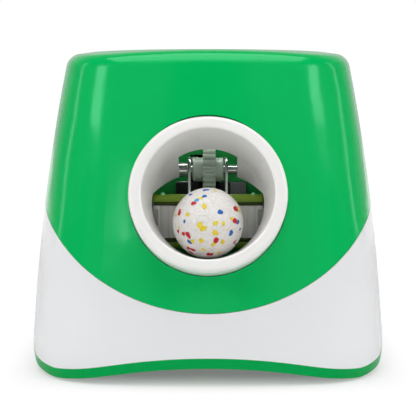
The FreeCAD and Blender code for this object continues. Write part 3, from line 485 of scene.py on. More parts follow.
@dataclass(frozen=True)
class BeadFoamFinish:
    """Foam rubber of fused beads: one tone with faint painted shade between the beads and a soft
    bumpy skin.
    """

    name: str
    base: Colour
    shade: Colour
    bead: float = 680.0
    roughness: float = 0.6
    grain_scale: float = 1300.0
    # how far from a bead's middle its painted shade starts and is full
    shaded: Span = (0.2, 0.7)
    skin_depth: float = 0.0005
    specular: float = 0.35

    def make(self, effects: SharedEffects) -> Material:
        """Builds the material from bead cells and grain.

        Args:
            effects: The shared groups.

        Returns:
            The material.
        """
        build = MaterialBuilder(self.name, effects)
        place = build.node("ShaderNodeTexCoord")
        beads = build.node("ShaderNodeTexVoronoi", {"Scale": self.bead}, feature="SMOOTH_F1")
        build.link(place.outputs["Object"], beads.inputs["Vector"])
        grain = build.effect(Effect.FINE_GRAIN, Scale=self.grain_scale)
        # painted shade: darker away from each bead's middle, in the hollows between beads
        hollow = build.ramp(beads.outputs["Distance"], self.shaded, (0.0, 1.0))
        tones = {"A": (*self.base, 1.0), "B": (*self.shade, 1.0)}
        ground = build.node("ShaderNodeMix", tones, data_type="RGBA")
        build.link(hollow, ground.inputs["Factor"])
        build.link(ground.outputs["Result"], build.shader.inputs["Base Color"])
        build.roughness(self.roughness, grain.outputs["Spread"])
        height = build.maths("SUBTRACT", grain.outputs["Height"], beads.outputs["Distance"])
        build.bump(height, self.skin_depth)
        build.constants(Specular_IOR_Level=self.specular)
        return build.material


GREEN = srgb(0, 176, 88)
# painted shade: a darker copy of GREEN for the base pan, where less light falls
GREEN_PAINTED_SHADE = srgb(0, 156, 73)
SHELL_WHITE = srgb(228, 228, 230)
# reflections on the green skin lose most of their red
GREEN_SHEEN = (0.35, 1.0, 0.75)
# depths of the moulded texture in metres
POLISHED, MATT, RUBBERY = 0.000003, 0.00003, 0.00005
Finish = PlasticFinish | MetalFinish | LensFinish | BeadFoamFinish
FINISHES: dict[str, Finish] = {
    "green_gloss": PlasticFinish("gloss_green", GREEN, 0.16, drift=0.05, grain=POLISHED,
                                 coat=0.06, waves=0.0026, reflects=GREEN_SHEEN),
    "white_gloss": PlasticFinish("gloss_white", SHELL_WHITE, 0.18, drift=0.02, grain=POLISHED,
                                 coat=0.1, waves=0.0004),
    # the same green gloss with painted shade, for the base pan
    "green_painted_shade": PlasticFinish("gloss_green_painted_shade", GREEN_PAINTED_SHADE, 0.2, drift=0.05, grain=POLISHED,
                               specular=0.16, waves=0.0004, reflects=GREEN_SHEEN),
    "tube_white": PlasticFinish("satin_white", srgb(233, 232, 230), 0.3, drift=0.02, coat=0.15),
    "green_inner": PlasticFinish("satin_green", srgb(0, 158, 66), 0.42, drift=0.08),
    "olive_rubber": PlasticFinish("olive_rubber", srgb(122, 156, 34), 0.32, drift=0.12,
                                  grain=RUBBERY, specular=0.4, sheen=0.1),
    # painted shade: a dark copy of the olive rubber, for the shadow strips under the pads
    "olive_painted_shade": PlasticFinish("olive_painted_shade", srgb(52, 68, 20), 0.55, drift=0.12,
                                 grain=RUBBERY, specular=0.3),
    "mint": PlasticFinish("mint_nylon", srgb(150, 226, 170), 0.2, drift=0.04, subsurface=0.2),
    "mark_pale": PlasticFinish("mark_pale", srgb(214, 216, 214), 0.5, drift=0.04, specular=0.3),
    "black_plastic": PlasticFinish("black_plastic", srgb(30, 33, 33), 0.34, drift=0.2,
                                   grain=MATT),
    "grey_plastic": PlasticFinish("grey_plastic", srgb(124, 126, 129), 0.4, grain=MATT),
    "nylon": PlasticFinish("natural_nylon", srgb(176, 192, 176), 0.3, subsurface=0.35),
    "paddle_white": PlasticFinish("rib_white", srgb(222, 222, 217), 0.36, drift=0.03),
    "steel_bright": MetalFinish("bright_wire", srgb(222, 223, 224), 0.2, along=2600.0,
                                metallic=0.8),
    "steel": MetalFinish("plain_steel", srgb(170, 172, 176), 0.28),
    "brass": MetalFinish("turned_brass", srgb(204, 172, 98), 0.26),
    "foot_rubber": PlasticFinish("foot_rubber", srgb(34, 34, 35), 0.7, drift=0.2, grain=0.00006,
                                 specular=0.3),
    # the second colour is the painted shade between the beads
    "ball_foam": BeadFoamFinish("bead_foam", srgb(232, 229, 226), srgb(220, 216, 211)),
    "board": PlasticFinish("board_mask", srgb(18, 92, 48), 0.3, drift=0.12),
    "cell_wrap": PlasticFinish("cell_sleeve", srgb(44, 46, 52), 0.25, drift=0.1),
    "lens": LensFinish("frosted_lens", srgb(232, 244, 232)),
    "pad_rubber": PlasticFinish("bumper_rubber", srgb(160, 162, 156), 0.6, drift=0.1,
                                grain=RUBBERY),
}


class Fleck(Enum):
    """Bead colours scattered in the ball's foam."""

    RED = srgb(200, 30, 44)
    YELLOW = srgb(236, 212, 62)
    BLUE = srgb(36, 104, 184)
    SKY = srgb(96, 168, 214)


# ---------------------------------------------------------------- mesh tools
def mesh_object(name: str, build: Callable[[Work], None]) -> Piece:
    """Makes a linked mesh object.

    Args:
        name: Object name.
        build: Fills the empty bmesh.

    Returns:
        The new object.
    """
    work = bmesh.new()
    build(work)
    data = bpy.data.meshes.new(name)
    work.to_mesh(data)
    work.free()
    return linked(name, data)


def linked(name: str, data: bpy.types.ID) -> Piece:
    """Makes an object of some data and links it to the scene.

    Args:
        name: Object name.
        data: Its mesh, lamp or camera data.

    Returns:
        The new object.
    """
    made = bpy.data.objects.new(name, data)
    bpy.context.scene.collection.objects.link(made)
    return made


def smooth(piece: Piece, degrees: float = 35.0) -> None:
    """Shades a mesh smooth, with edges sharper than the angle kept."""
    piece.data.polygons.foreach_set("use_smooth", [True] * len(piece.data.polygons))
    piece.data.set_sharp_from_angle(angle=math.radians(degrees))


def dressed(piece: Piece, material: Material, body: str) -> Piece:
    """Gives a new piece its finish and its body.

    Args:
        piece: The new piece.
        material: Its material.
        body: The CAD body that carries it.

    Returns:
        The piece.
    """
    piece.data.materials.append(material)
    smooth(piece)
    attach(piece, body)
    return piece


def skin_between(work: Work, first: Ring, second: Ring) -> list[bmesh.types.BMFace]:
    """Joins two rings of equal count with quads.

    Args:
        work: Mesh that takes them.
        first, second: The rings' points.

    Returns:
        The quads.
    """
    count = len(first)
    return [work.faces.new((first[index], first[(index + 1) % count],
                            second[(index + 1) % count], second[index]))
            for index in range(count)]


def close_ends(work: Work, rings: Sequence[Ring]) -> None:
    """Caps the first and the last ring."""
    work.faces.new(list(reversed(rings[0])))
    work.faces.new(rings[-1])


def lathe(work: Work, centre: Vector, axis: Vector, profile: Profile, around: int = 24) -> None:
    """Turns a profile about an axis and closes its ends.

    Args:
        work: Mesh that takes it.
        centre: Where the axis starts.
        axis: Unit direction of the axis.
        profile: Radius and height pairs from the first end to the last.
        around: Points on each ring.
    """
    side = axis.orthogonal().normalized()
    other = axis.cross(side)
    turns = [math.tau * index / around for index in range(around)]
    rings = [[work.verts.new(centre + axis * height
                             + (side * math.cos(turn) + other * math.sin(turn)) * radius)
              for turn in turns] for radius, height in profile]
    for lower, upper in zip(rings, rings[1:]):
        skin_between(work, lower, upper)
    close_ends(work, rings)
    bmesh.ops.recalc_face_normals(work, faces=work.faces)


def sweep(work: Work, path: Sequence[Vector], across: Vector, section: Profile) -> None:
    """Sweeps a section along an open path that keeps one side direction.

    Args:
        work: Mesh that takes it.
        path: Points of the path.
        across: Direction that the section's first number follows at every point.
        section: Points of the section: along across, and along the path's other normal.
    """
    rings = []
    for index, point in enumerate(path):
        before, after = path[max(index - 1, 0)], path[min(index + 1, len(path) - 1)]
        other = (after - before).normalized().cross(across).normalized()
        rings.append([work.verts.new(point + across * out + other * wide)
                      for out, wide in section])
    for first, second in zip(rings, rings[1:]):
        skin_between(work, first, second)
    close_ends(work, rings)
    bmesh.ops.recalc_face_normals(work, faces=work.faces)


# ---------------------------------------------------------------- dressed pieces
@dataclass
class FoamBall:
    """The loaded ball: a sphere of fused foam beads with coloured beads among them."""

    node: str = "ball"
    levels: int = 6
    bead_depth: float = 0.00014
    bead_scale: float = 560.0
    # every point sinks by the least share of the depth, and by more away from its bead's middle
    least_sunk: float = 0.35
    sinks_by: float = 1.2
    turned: float = math.radians(6.3)
    seed: int = 11
    # coloured beads elsewhere: how many are tried, their sizes, colours, and where they end
    scattered: int = 70
    sizes: Span = (0.035, 0.08)
    colours: tuple[int, ...] = (0, 1, 1, 2)
    facing_ends: float = -0.12
    # outline and height of a coloured bead, all over the ball's or the bead's radius
    corners: int = 14
    stretches: Span = (0.9, 1.14)
    waves: tuple[tuple[int, float, int], ...] = ((2, 0.16, 1), (3, 0.1, 2), (5, 0.05, 3))
    rim: Span = (1.0, -0.0012)
    shoulder: Span = (0.72, 0.0012)
    crown: float = 1.0022
    # the coloured beads' painted shade between beads, as a share of their colour
    shaded_to: float = 0.86
    # coloured beads of the side that faces out of the tube: across, up and size over the radius
    facing: dict[Fleck, tuple[Place, ...]] = field(default_factory=lambda: {
        Fleck.RED: (
            (-0.4, 0.548, 0.075), (-0.792, 0.299, 0.085), (0.772, 0.4, 0.1), (0.749, 0.06, 0.09),
            (-0.826, -0.228, 0.055), (-0.678, -0.295, 0.062), (-0.55, -0.33, 0.088),
            (0.219, -0.479, 0.088), (0.742, -0.523, 0.06), (-0.541, -0.696, 0.065),
            (-0.416, -0.742, 0.068), (-0.473, -0.82, 0.065), (0.03, -0.868, 0.08),
            (0.09, -0.868, 0.07)),
        Fleck.YELLOW: (
            (0.196, 0.893, 0.05), (-0.205, 0.692, 0.06), (-0.107, 0.486, 0.064),
            (-0.09, 0.42, 0.05), (-0.89, 0.224, 0.055), (-0.559, 0.235, 0.065),
            (0.85, 0.42, 0.06), (0.88, 0.33, 0.06), (0.65, 0.126, 0.055), (0.212, 0.0, 0.07),
            (0.425, -0.011, 0.062), (-0.221, -0.057, 0.09), (-0.137, -0.148, 0.09),
            (0.539, -0.171, 0.03), (0.196, -0.267, 0.086), (-0.808, -0.123, 0.04),
            (-0.427, -0.502, 0.066), (-0.183, -0.484, 0.076), (0.151, -0.582, 0.066),
            (0.406, -0.514, 0.074), (-0.804, -0.507, 0.04), (-0.73, -0.64, 0.045),
            (-0.13, -0.735, 0.062), (0.3, -0.822, 0.065), (0.69, -0.68, 0.04)),
        Fleck.BLUE: (
            (-0.08, 0.925, 0.07), (-0.02, 0.93, 0.06), (-0.49, 0.795, 0.06),
            (-0.1, 0.744, 0.066), (0.338, 0.304, 0.078), (-0.65, 0.048, 0.048),
            (0.833, 0.03, 0.065), (0.89, -0.17, 0.045), (0.635, -0.272, 0.08),
            (-0.511, -0.518, 0.07), (0.767, -0.594, 0.06)),
        Fleck.SKY: ((-0.32, 0.628, 0.07),)})

    def build(self, finishes: Finishes, effects: SharedEffects) -> list[Piece]:
        """Builds the sphere and its coloured beads in place of the CAD ball.

        Args:
            finishes: Materials by record slot.
            effects: Shared groups for the coloured beads' own materials.

        Returns:
            The sphere and the coloured beads.
        """
        low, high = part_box(self.node)
        centre, radius = (low + high) / 2, (high.z - low.z) / 2
        ball = mesh_object("foam_ball", lambda work: self.sphere(work, radius))
        ball.data.materials.append(finishes["ball_foam"])
        flecks = mesh_object("foam_flecks", lambda work: self.scatter(work, radius))
        for fleck in Fleck:
            shade = tuple(self.shaded_to * part for part in fleck.value)
            finish = BeadFoamFinish(f"bead_{fleck.name.lower()}", fleck.value, shade)
            flecks.data.materials.append(finish.make(effects))
        for piece in (ball, flecks):
            piece.location = centre
            smooth(piece, degrees=180)
            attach(piece, "loaded_ball")
        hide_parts(self.node)
        return [ball, flecks]

    def sphere(self, work: Work, radius: float) -> None:
        """Makes the sphere, with a shallow hollow between neighbouring foam beads.

        Args:
            work: Mesh that takes it.
            radius: The ball's radius.
        """
        bmesh.ops.create_icosphere(work, subdivisions=self.levels, radius=radius)
        for vertex in work.verts:
            outward = vertex.co.normalized()
            cell = noise.voronoi(vertex.co * self.bead_scale)[0][0]
            sunk = self.least_sunk + min(cell * self.sinks_by, 1.0)
            vertex.co -= outward * self.bead_depth * sunk

    def scatter(self, work: Work, radius: float) -> None:
        """Lays the coloured beads: set ones on the facing side, seeded ones elsewhere.

        Args:
            work: Mesh that takes them.
            radius: The ball's radius.
        """
        chance = random.Random(self.seed)
        tilt = Quaternion(ALONG_X, -self.turned)
        kinds = list(Fleck)
        for fleck, places in self.facing.items():
            for across, up, size in places:
                out = math.sqrt(max(1 - across ** 2 - up ** 2, 0.0))
                toward = tilt @ Vector((across, -out, up))
                self.fleck(work, toward, radius, size, kinds.index(fleck), chance)
        for _ in range(self.scattered):
            toward = Vector([chance.gauss(0, 1) for _axis in range(3)]).normalized()
            if (tilt.inverted() @ toward).y > self.facing_ends:
                self.fleck(work, toward, radius, chance.uniform(*self.sizes),
                           chance.choice(self.colours), chance)

    def fleck(self, work: Work, toward: Vector, radius: float, size: float, slot: int,
              chance: random.Random) -> None:
        """Lays one irregular bead cap on the sphere.

        Args:
            work: Mesh that takes it.
            toward: Unit direction of its middle.
            radius: The ball's radius.
            size: The cap's radius over the ball's.
            slot: Material index.
            chance: Seeded source of its outline.
        """
        side = toward.orthogonal().normalized()
        other = toward.cross(side)
        stretch, phase = chance.uniform(*self.stretches), chance.uniform(0, math.tau)
        rings = []
        for share, lift in (self.rim, self.shoulder):
            ring = []
            for index in range(self.corners):
                angle = math.tau * index / self.corners
                wave = 1.0
                for times, height, shift in self.waves:
                    wave += height * math.sin(times * angle + shift * phase)
                reach = size * share * wave
                point = toward + side * math.cos(angle) * reach * stretch
                point += other * math.sin(angle) * reach / stretch
                ring.append(work.verts.new(point.normalized() * radius * (1 + lift)))
            rings.append(ring)
        top = work.verts.new(toward * radius * self.crown)
        faces = skin_between(work, *rings)
        faces += [work.faces.new((inner, after, top))
                  for inner, after in zip(rings[1], rings[1][1:] + rings[1][:1])]
        for face in faces:
            face.material_index = slot


@dataclass
class SoftBase:
    """Base pan and lower shell whose arched lower edge runs softly into the four corners.

    Both are copies of their nodes, eased upward by up to two millimetres where the arch meets the
    feet's level, so that the edge has no kink there.
    """

    nodes: tuple[str, ...] = ("base_pan", "lower_shell")
    # the base pan takes the green with painted shade
    looks: tuple[str, ...] = ("green_painted_shade", "white_gloss")
    slots: tuple[str, ...] = ("green_gloss", "white_gloss")
    directions: int = 120
    rise: float = 0.013
    curve: float = 0.354
    level: float = 0.0008
    # height taken where the arch has run out: far below the feet
    run_out: float = -1.0
    blend: float = 0.008
    full_height: float = 0.0095
    fades_over: float = 0.014
    full_inward: float = 0.004
    ends_inward: float = 0.012

    def build(self, finishes: Finishes) -> list[Piece]:
        """Builds both copies in place of their nodes.

        Args:
            finishes: Materials by record slot.

        Returns:
            The new pieces.
        """
        low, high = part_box(self.nodes[0])
        centre = (low + high) / 2
        reach = self.plan_reach(centre)
        made = []
        for name, look, slot in zip(self.nodes, self.looks, self.slots):
            data = frame["nodes"][name].data.copy()
            piece = linked(f"soft_{name}", data)
            for vertex in data.vertices:
                vertex.co.z += self.lift(vertex.co, centre, reach)
            data.materials.clear()
            data.materials.append(finishes[look])
            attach(piece, "housing")
            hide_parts(name)
            made.append(piece)
        return made

    def direction(self, x: float, y: float) -> int:
        """Number of the plan direction in which a point lies from the pan's middle."""
        return int(math.atan2(y, x) / math.tau * self.directions) % self.directions

    def plan_reach(self, centre: Vector) -> list[float]:
        """Finds how far the pan's outer edge reaches.

        Args:
            centre: Middle of the pan.

        Returns:
            The distance from the middle, for each direction.
        """
        reach = [0.0] * self.directions
        for vertex in frame["nodes"][self.nodes[0]].data.vertices:
            x, y = vertex.co.x, vertex.co.y - centre.y
            index = self.direction(x, y)
            reach[index] = max(reach[index], math.hypot(x, y))
        return reach

    def arch(self, along: float) -> float:
        """Height of the arched edge above the feet's level at a distance from its crown."""
        inside = self.curve ** 2 - along ** 2
        return self.rise - self.curve + math.sqrt(inside) if inside > 0 else self.run_out

    def lift(self, point: Vector, centre: Vector, reach: list[float]) -> float:
        """How far a point rises: a parabola over the kink, fading upward and inward.

        Args:
            point: The point.
            centre: Middle of the pan.
            reach: The pan's outer edge, from plan_reach.

        Returns:
            The rise in metres.
        """
        x, y = point.x, point.y - centre.y
        edge = max(self.arch(x), self.arch(y))
        share = max(self.blend - abs(edge), 0.0) / self.blend
        if not share:
            return 0.0
        above = point.z - self.level - max(edge, 0.0)
        inward = reach[self.direction(x, y)] - math.hypot(x, y)
        fade = self.eased(above, self.full_height, self.full_height + self.fades_over)
        fade *= self.eased(inward, self.full_inward, self.ends_inward)
        return share ** 2 * self.blend / 4 * fade

    @staticmethod
    def eased(value: float, start: float, end: float) -> float:
        """One up to start, nought from end, smooth between."""
        share = min(max((value - start) / (end - start), 0.0), 1.0)
        return 1.0 - share * share * (3 - 2 * share)


@dataclass
class StrikerTrim:
    """Dark strips of painted shadow under the paddle's pads, and the nylon pins that hold the
    upper pad.
    """

    # the lip fields size the dark strips of painted shadow under the pads
    lip_height: float = 0.003
    lip_proud: float = 0.0004
    lip_depth: float = 0.0026
    lip_inset: float = 0.0004
    # shares of the shadow strip's height: its rounding, and how far each strip is set into its pad
    lip_rounding: float = 0.3
    upper_set: float = 0.3
    lower_set: float = 0.2
    pin_at: float = 0.0328
    pin_radius: float = 0.0016
    pin_sunk: float = 0.0006
    # share of the pin's radius, and height
    pin_profile: Profile = ((1.0, 0.0), (1.0, 0.0008), (0.92, 0.0013), (0.7, 0.0017),
                            (0.35, 0.0019))

    def build(self, finishes: Finishes) -> list[Piece]:
        """Builds both painted shadow strips and both pins on the striker.

        Args:
            finishes: Materials by record slot.

        Returns:
            The new pieces.
        """
        low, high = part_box("paddle_pads")
        foot, head = (corner.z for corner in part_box("striker_paddle"))
        radius = (high.z - low.z - (head - foot)) / 2
        upper = head - radius + self.lip_height * self.upper_set
        lower = foot + radius - self.lip_height * self.lower_set
        # painted shadow along each pad's lower edge
        made = [self.lip("upper_pad_painted_shadow", upper, low, high, finishes),
                self.lip("lower_pad_painted_shadow", lower, low, high, finishes)]
        pins = mesh_object("pad_pins", lambda work: self.pins(
            work, low.y + radius - self.pin_sunk, high.z - self.pin_sunk))
        made.append(dressed(pins, finishes["mint"], "striker"))
        return made

    def pins(self, work: Work, y: float, z: float) -> None:
        """Turns both pins.

        Args:
            work: Mesh that takes them.
            y, z: Where both stand.
        """
        profile = [(self.pin_radius * share, height) for share, height in self.pin_profile]
        for side in (-1, 1):
            lathe(work, Vector((side * self.pin_at, y, z)), UPWARD, profile)

    def lip(self, name: str, z: float, low: Vector, high: Vector, finishes: Finishes) -> Piece:
        """Builds one dark strip of painted shadow across the paddle's front.

        Args:
            name: Piece name.
            z: Height of its middle.
            low, high: The pads' box.
            finishes: Materials by record slot.

        Returns:
            The lip.
        """
        half, round_off = self.lip_height / 2, self.lip_height * self.lip_rounding
        front = low.y - self.lip_proud
        path = [Vector((x, front, z)) for x in (low.x + self.lip_inset, 0,
                                                high.x - self.lip_inset)]
        section = ((0, -half + round_off), (0, half - round_off), (round_off, half),
                   (self.lip_depth, half), (self.lip_depth, -half), (round_off, -half))
        piece = mesh_object(name, lambda work: sweep(work, path, ALONG_Y, section))
        return dressed(piece, finishes["olive_painted_shade"], "striker")


@dataclass
class GearboxTrim:
    """The bright cover pin along the lip of the gearbox."""

    radius: float = 0.0007
    inset: float = 0.0002
    stops_short: float = 0.0012
    lip_height: float = 0.012
    chamfer: float = 0.0003
    # shares of the radius: the pin's ends, and how far its middle lies behind and over the lip
    end_share: float = 0.7
    behind: float = 1.1
    above: float = 0.7
    around: int = 16

    def build(self, finishes: Finishes) -> list[Piece]:
        """Builds the pin on the case's lip, left of the drive gear.

        Args:
            finishes: Materials by record slot.

        Returns:
            The new pieces.
        """
        low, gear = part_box("gearbox_case")[0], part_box("drive_gear")[0]
        length = gear.x - self.stops_short - low.x
        at = Vector((low.x + self.inset, low.y + self.radius * self.behind,
                     low.z + self.lip_height + self.radius * self.above))
        end = self.radius * self.end_share
        profile = ((end, 0), (self.radius, self.chamfer), (self.radius, length - self.chamfer),
                   (end, length))
        pin = mesh_object("gearbox_pin",
                          lambda work: lathe(work, at, ALONG_X, profile, self.around))
        return [dressed(pin, finishes["steel_bright"], "housing")]


@dataclass
class InletPin:
    """The power inlet's centre pin, standing in its bore."""

    radius: float = 0.00105
    length: float = 0.0082
    depth: float = 0.01
    rooted: float = 0.001
    rounding: float = 0.0004
    # share of the radius, and share of the rounding below the tip
    tip_profile: Profile = ((1.0, 1.0), (0.86, 0.3), (0.5, 0.0))

    def build(self, finishes: Finishes) -> list[Piece]:
        """Builds the pin on the bore's floor.

        Args:
            finishes: Materials by record slot.

        Returns:
            The new pieces.
        """
        low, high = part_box("dc_jack")
        at = Vector(((low.x + high.x) / 2, 0.0, (low.z + high.z) / 2))
        foot = high.y - self.depth - self.rooted
        tip = foot + self.rooted + self.length
        profile = [(self.radius, foot)]
        profile += [(self.radius * share, tip - self.rounding * below)
                    for share, below in self.tip_profile]
        pin = mesh_object("inlet_pin", lambda work: lathe(work, at, ALONG_Y, profile))
        return [dressed(pin, finishes["steel"], "housing")]


@dataclass
class ButtonMarks:
    """Plain raised marks on the two rear buttons: a standby sign and three rising bars."""

    proud: float = 0.00025
    sunk: float = 0.0004
    line: float = 0.0009
    # share of the height and of the half width at which a stroke's edge is broken
    edge: float = 0.6
    ring: float = 0.0036
    ring_steps: int = 28
    gap: float = 0.62
    # points of the standby sign's bar, over the ring's radius
    bar_points: tuple[float, ...] = (0.25, 0.8, 1.25)
    bar_heights: tuple[float, ...] = (0.0026, 0.0046, 0.0066)
    bar_pitch: float = 0.0024
    bar_foot: float = -0.0033

    def build(self, finishes: Finishes) -> list[Piece]:
        """Builds both marks.

        Args:
            finishes: Materials by record slot.

        Returns:
            The new pieces.
        """
        made = []
        for name, node, body, draw in (
                ("power_mark", "power_button", "power_key", self.standby),
                ("distance_mark", "distance_button", "distance_key", self.bars)):
            low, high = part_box(node)
            centre = Vector(((low.x + high.x) / 2, high.y, (low.z + high.z) / 2))
            piece = mesh_object(name, lambda work, c=centre, d=draw: d(work, c))
            made.append(dressed(piece, finishes["mark_pale"], body))
        return made

    def stroke(self, work: Work, path: Sequence[Vector]) -> None:
        """Lays one raised stroke on the button's face.

        Args:
            work: Mesh that takes it.
            path: Points along its middle.
        """
        half, proud, edge = self.line / 2, self.proud, self.edge
        sweep(work, path, ALONG_Y, (
            (-self.sunk, -half), (proud * edge, -half), (proud, -half * edge),
            (proud, half * edge), (proud * edge, half), (-self.sunk, half)))

    def standby(self, work: Work, centre: Vector) -> None:
        """Draws an open ring with a bar at its top.

        Args:
            work: Mesh that takes them.
            centre: Middle of the button's face.
        """
        turns = [self.gap + (math.tau - 2 * self.gap) * step / self.ring_steps
                 for step in range(self.ring_steps + 1)]
        self.stroke(work, [centre + Vector((math.sin(turn) * self.ring, 0,
                                            math.cos(turn) * self.ring)) for turn in turns])
        self.stroke(work, [centre + Vector((0, 0, self.ring * share))
                           for share in self.bar_points])

    def bars(self, work: Work, centre: Vector) -> None:
        """Draws three bars of rising height.

        Args:
            work: Mesh that takes them.
            centre: Middle of the button's face.
        """
        for index, height in enumerate(self.bar_heights):
            foot = centre + Vector(((1 - index) * self.bar_pitch, 0, self.bar_foot))
            self.stroke(work, [foot + Vector((0, 0, rise)) for rise in (0, height / 2, height)])


@dataclass
class Dressing:
    """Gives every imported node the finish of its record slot."""

    finishes: Finishes
    # nodes given a darker copy of their slot's finish: painted shade, as on the low base pan where
    # less light falls
    painted_shades: dict[str, str] = field(default_factory=lambda: {"base_pan": "green_painted_shade"})

    def apply(self) -> int:
        """Assigns the materials.

        Returns:
            How many nodes the record dresses.
        """
        slots = {row["node"]: row["material_slot"] for row in frame["record"]["subparts"]}
        for name, node in frame["nodes"].items():
            node.data.materials.clear()
            node.data.materials.append(self.finishes[self.painted_shades.get(name, slots[name])])
        return len(slots)


# ---------------------------------------------------------------- studio
class StageNodes(NodeWiring):
    """Node helpers of the floor and the world."""

    def separated(self, place: Link) -> tuple[Link, Link, Link]:
        """Takes a place apart.

        Args:
            place: Socket of the place.

        Returns:
            Sockets of its X, Y and Z.
        """
        apart = self.node("ShaderNodeSeparateXYZ")
        self.link(place, apart.inputs[0])
        x, y, z = apart.outputs
        return x, y, z

    def boxy_reach(self, place: Link, power: float = 8.0) -> Link:
        """Distance from the upright axis whose level lines are squares with round corners.

        Args:
            place: Position socket.
            power: How square the lines are; 2 would give circles.

        Returns:
            The distance in metres.
        """
        parts = [self.maths("POWER", self.maths("ABSOLUTE", part, 0.0), power)
                 for part in self.separated(place)[:2]]
        return self.maths("POWER", self.maths("ADD", *parts), 1.0 / power)

    def seen(self, behind: Link) -> Link:
        """One for camera and transmission rays, and behind for glossy ones.

        Args:
            behind: How far the place lies behind the object, 0 to 1.

        Returns:
            The share of the plain white backdrop.
        """
        path = self.node("ShaderNodeLightPath").outputs
        direct = self.maths("MAXIMUM", path["Is Camera Ray"], path["Is Transmission Ray"])
        return self.maths("MAXIMUM", direct,
                          self.maths("MULTIPLY", path["Is Glossy Ray"], behind))

    def mixed(self, share: Link, first: Link, second: Link) -> Link:
        """Mixes two shaders.

        Args:
            share: Share of the second.
            first, second: Sockets of the shaders.

        Returns:
            Socket of the mixture.
        """
        mix = self.node("ShaderNodeMixShader")
        for value, into in zip((share, first, second), mix.inputs):
            self.link(value, into)
        return mix.outputs[0]


@dataclass(frozen=True)
class Lamp:
    """One rectangular soft light.

    Args:
        name: Lamp name.
        place: Where it stands.
        size: Width and height in metres.
        power: Watts.
        target: What it points at.
        mirrored: Whether glossy surfaces show it; a cross-polarised box isn't shown.
    """

    name: str
    place: Place
    size: tuple[float, float]
    power: float
    target: Place = (0.0, 0.0, 0.12)
    mirrored: bool = True

    def on_side(self, side: int, word: str) -> "Lamp":
        """The same lamp on one side, -1 for left and 1 for right."""
        x, y, z = self.place
        return replace(self, name=f"{self.name}_{word}", place=(side * x, y, z))

    def build(self) -> None:
        """Adds the lamp to the scene."""
        data = bpy.data.lights.new(self.name, "AREA")
        data.shape = "RECTANGLE"
        data.size, data.size_y = self.size
        data.energy = self.power
        made = linked(self.name, data)
        made.location = self.place
        made.visible_glossy = self.mirrored
        toward = Vector(self.target) - Vector(self.place)
        made.rotation_euler = toward.to_track_quat("-Z", "Y").to_euler()


SIDE_LAMPS = (
    Lamp("strip", (1.5, 0.22, 0.62), (0.12, 1.1), 0.9),
    Lamp("shoulder", (1.3, -0.82, 0.86), (0.46, 0.5), 2.9),
    Lamp("front", (1.1, -1.5, 0.75), (1.5, 1.5), 1.7),
    Lamp("wash", (1.5, -0.35, 0.6), (0.8, 0.8), 6.4, mirrored=False),
)
OTHER_LAMPS = (
    Lamp("fill", (0.0, -1.7, 0.3), (1.8, 0.5), 4.2, mirrored=False),
    Lamp("back_wash", (0.0, 1.7, 0.9), (1.8, 1.0), 11.0, mirrored=False),
    Lamp("top_box", (0.0, -0.25, 1.2), (1.2, 0.8), 8.0),
    Lamp("high_front", (0.0, -1.2, 1.6), (1.4, 0.6), 5.0),
    # a faint streak left of the tube, and the glint along the striker's shaft in the chamber
    Lamp("streak", (-0.63, -1.39, 0.35), (0.02, 0.2), 0.2),
    Lamp("chamber", (0.0, -0.052, 0.182), (0.07, 0.006), 0.012, target=(0.0, -0.0486, 0.1458)),
)


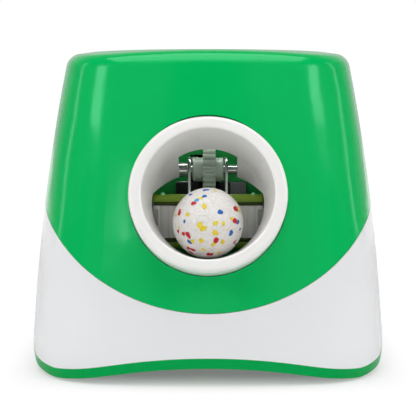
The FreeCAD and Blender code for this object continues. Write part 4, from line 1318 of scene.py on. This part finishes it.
@dataclass
class Studio:
    """Pale floor, soft lights and the camera."""

    camera_at: Place = (0.0, -0.9235, 0.2028)
    pitch_down: float = 5.6
    lens: float = 101.6
    sensor: float = 36.0
    floor_size: float = 14.0
    floor_tone: float = 0.85
    floor_roughness: float = 0.8
    floor_specular: float = 0.1
    # the contact shadow's share next to the object, and where the floor turns plain white
    near_share: float = 0.18
    clears: Span = (0.088, 0.165)
    backdrop: float = 1.02
    # where behind the object the floor and the world turn white in reflections, and how white
    # the world gets there
    floor_behind: Span = (0.5, 1.2)
    world_behind: Span = (0.2, 1.0)
    world_share: float = 0.6
    # strength of the world on every side
    dome: float = 0.055

    def floor_finish(self) -> Material:
        """Makes a floor with a contact shadow, plain white farther out and open from below.

        Returns:
            The material.
        """
        material = bpy.data.materials.new("studio_floor")
        material.use_nodes = True
        tree = material.node_tree
        nodes = StageNodes(tree)
        shader = tree.nodes["Principled BSDF"]
        shader.inputs["Base Color"].default_value = (*[self.floor_tone] * 3, 1)
        shader.inputs["Roughness"].default_value = self.floor_roughness
        shader.inputs["Specular IOR Level"].default_value = self.floor_specular
        place = nodes.node("ShaderNodeNewGeometry").outputs
        _, depth, _ = nodes.separated(place["Position"])
        reach = nodes.boxy_reach(place["Position"])
        clear = nodes.ramp(reach, self.clears, (self.near_share, 1.0), "SMOOTHSTEP")
        seen = nodes.seen(nodes.ramp(depth, self.floor_behind, (0.0, 1.0), "SMOOTHSTEP"))
        white = nodes.node("ShaderNodeEmission", {"Color": WHITE, "Strength": self.backdrop})
        above = nodes.mixed(nodes.maths("MULTIPLY", seen, clear), shader.outputs[0],
                            white.outputs[0])
        below = nodes.node("ShaderNodeBsdfTransparent").outputs[0]
        nodes.link(nodes.mixed(place["Backfacing"], above, below),
                   tree.nodes["Material Output"].inputs["Surface"])
        return material

    def floor(self) -> None:
        """Lays the floor."""
        half = self.floor_size / 2

        def fill(work: Work) -> None:
            """Makes the one square face."""
            corners = [(-half, -half), (half, -half), (half, half), (-half, half)]
            work.faces.new([work.verts.new((x, y, 0.0)) for x, y in corners])
        ground = mesh_object("studio_floor", fill)
        ground.data.materials.append(self.floor_finish())

    def world(self) -> None:
        """White behind the object, an even dim dome to everything else."""
        world = bpy.data.worlds.new("studio_world")
        bpy.context.scene.world = world
        world.use_nodes = True
        tree = world.node_tree
        nodes = StageNodes(tree)
        toward = nodes.node("ShaderNodeTexCoord").outputs["Generated"]
        _, depth, _ = nodes.separated(toward)
        seen = nodes.seen(nodes.ramp(depth, self.world_behind, (0.0, self.world_share),
                                     "SMOOTHSTEP"))
        level = nodes.maths("ADD", nodes.maths("MULTIPLY", seen, 1.0 - self.dome), self.dome)
        back = tree.nodes["Background"]
        back.inputs["Color"].default_value = WHITE
        nodes.link(level, back.inputs["Strength"])

    def lights(self) -> None:
        """Boxes beside it, in front and overhead, a plain fill, a streak and a glint inside."""
        for side, word in ((-1, "left"), (1, "right")):
            for lamp in SIDE_LAMPS:
                lamp.on_side(side, word).build()
        for lamp in OTHER_LAMPS:
            lamp.build()

    def camera(self) -> None:
        """Places the camera."""
        data = bpy.data.cameras.new("camera")
        data.lens = self.lens
        data.sensor_width = self.sensor
        made = linked("camera", data)
        made.location = self.camera_at
        made.rotation_euler = (math.radians(90.0 - self.pitch_down), 0.0, 0.0)
        bpy.context.scene.camera = made

    def build(self) -> None:
        """Sets up the whole studio."""
        bpy.context.scene.view_settings.view_transform = "Standard"
        self.floor()
        self.world()
        self.lights()
        self.camera()


def main() -> None:
    """Builds the studio, the finishes and every piece."""
    logging.basicConfig(level=logging.INFO)
    Studio().build()
    effects = SharedEffects()
    finishes = {slot: finish.make(effects) for slot, finish in FINISHES.items()}
    log.info("dressed %d nodes", Dressing(finishes).apply())
    log.info("built %s", [piece.name for piece in FoamBall().build(finishes, effects)])
    for trim in (SoftBase(), StrikerTrim(), GearboxTrim(), InletPin(), ButtonMarks()):
        log.info("built %s", [piece.name for piece in trim.build(finishes)])


if __name__ == "__main__":
    main()
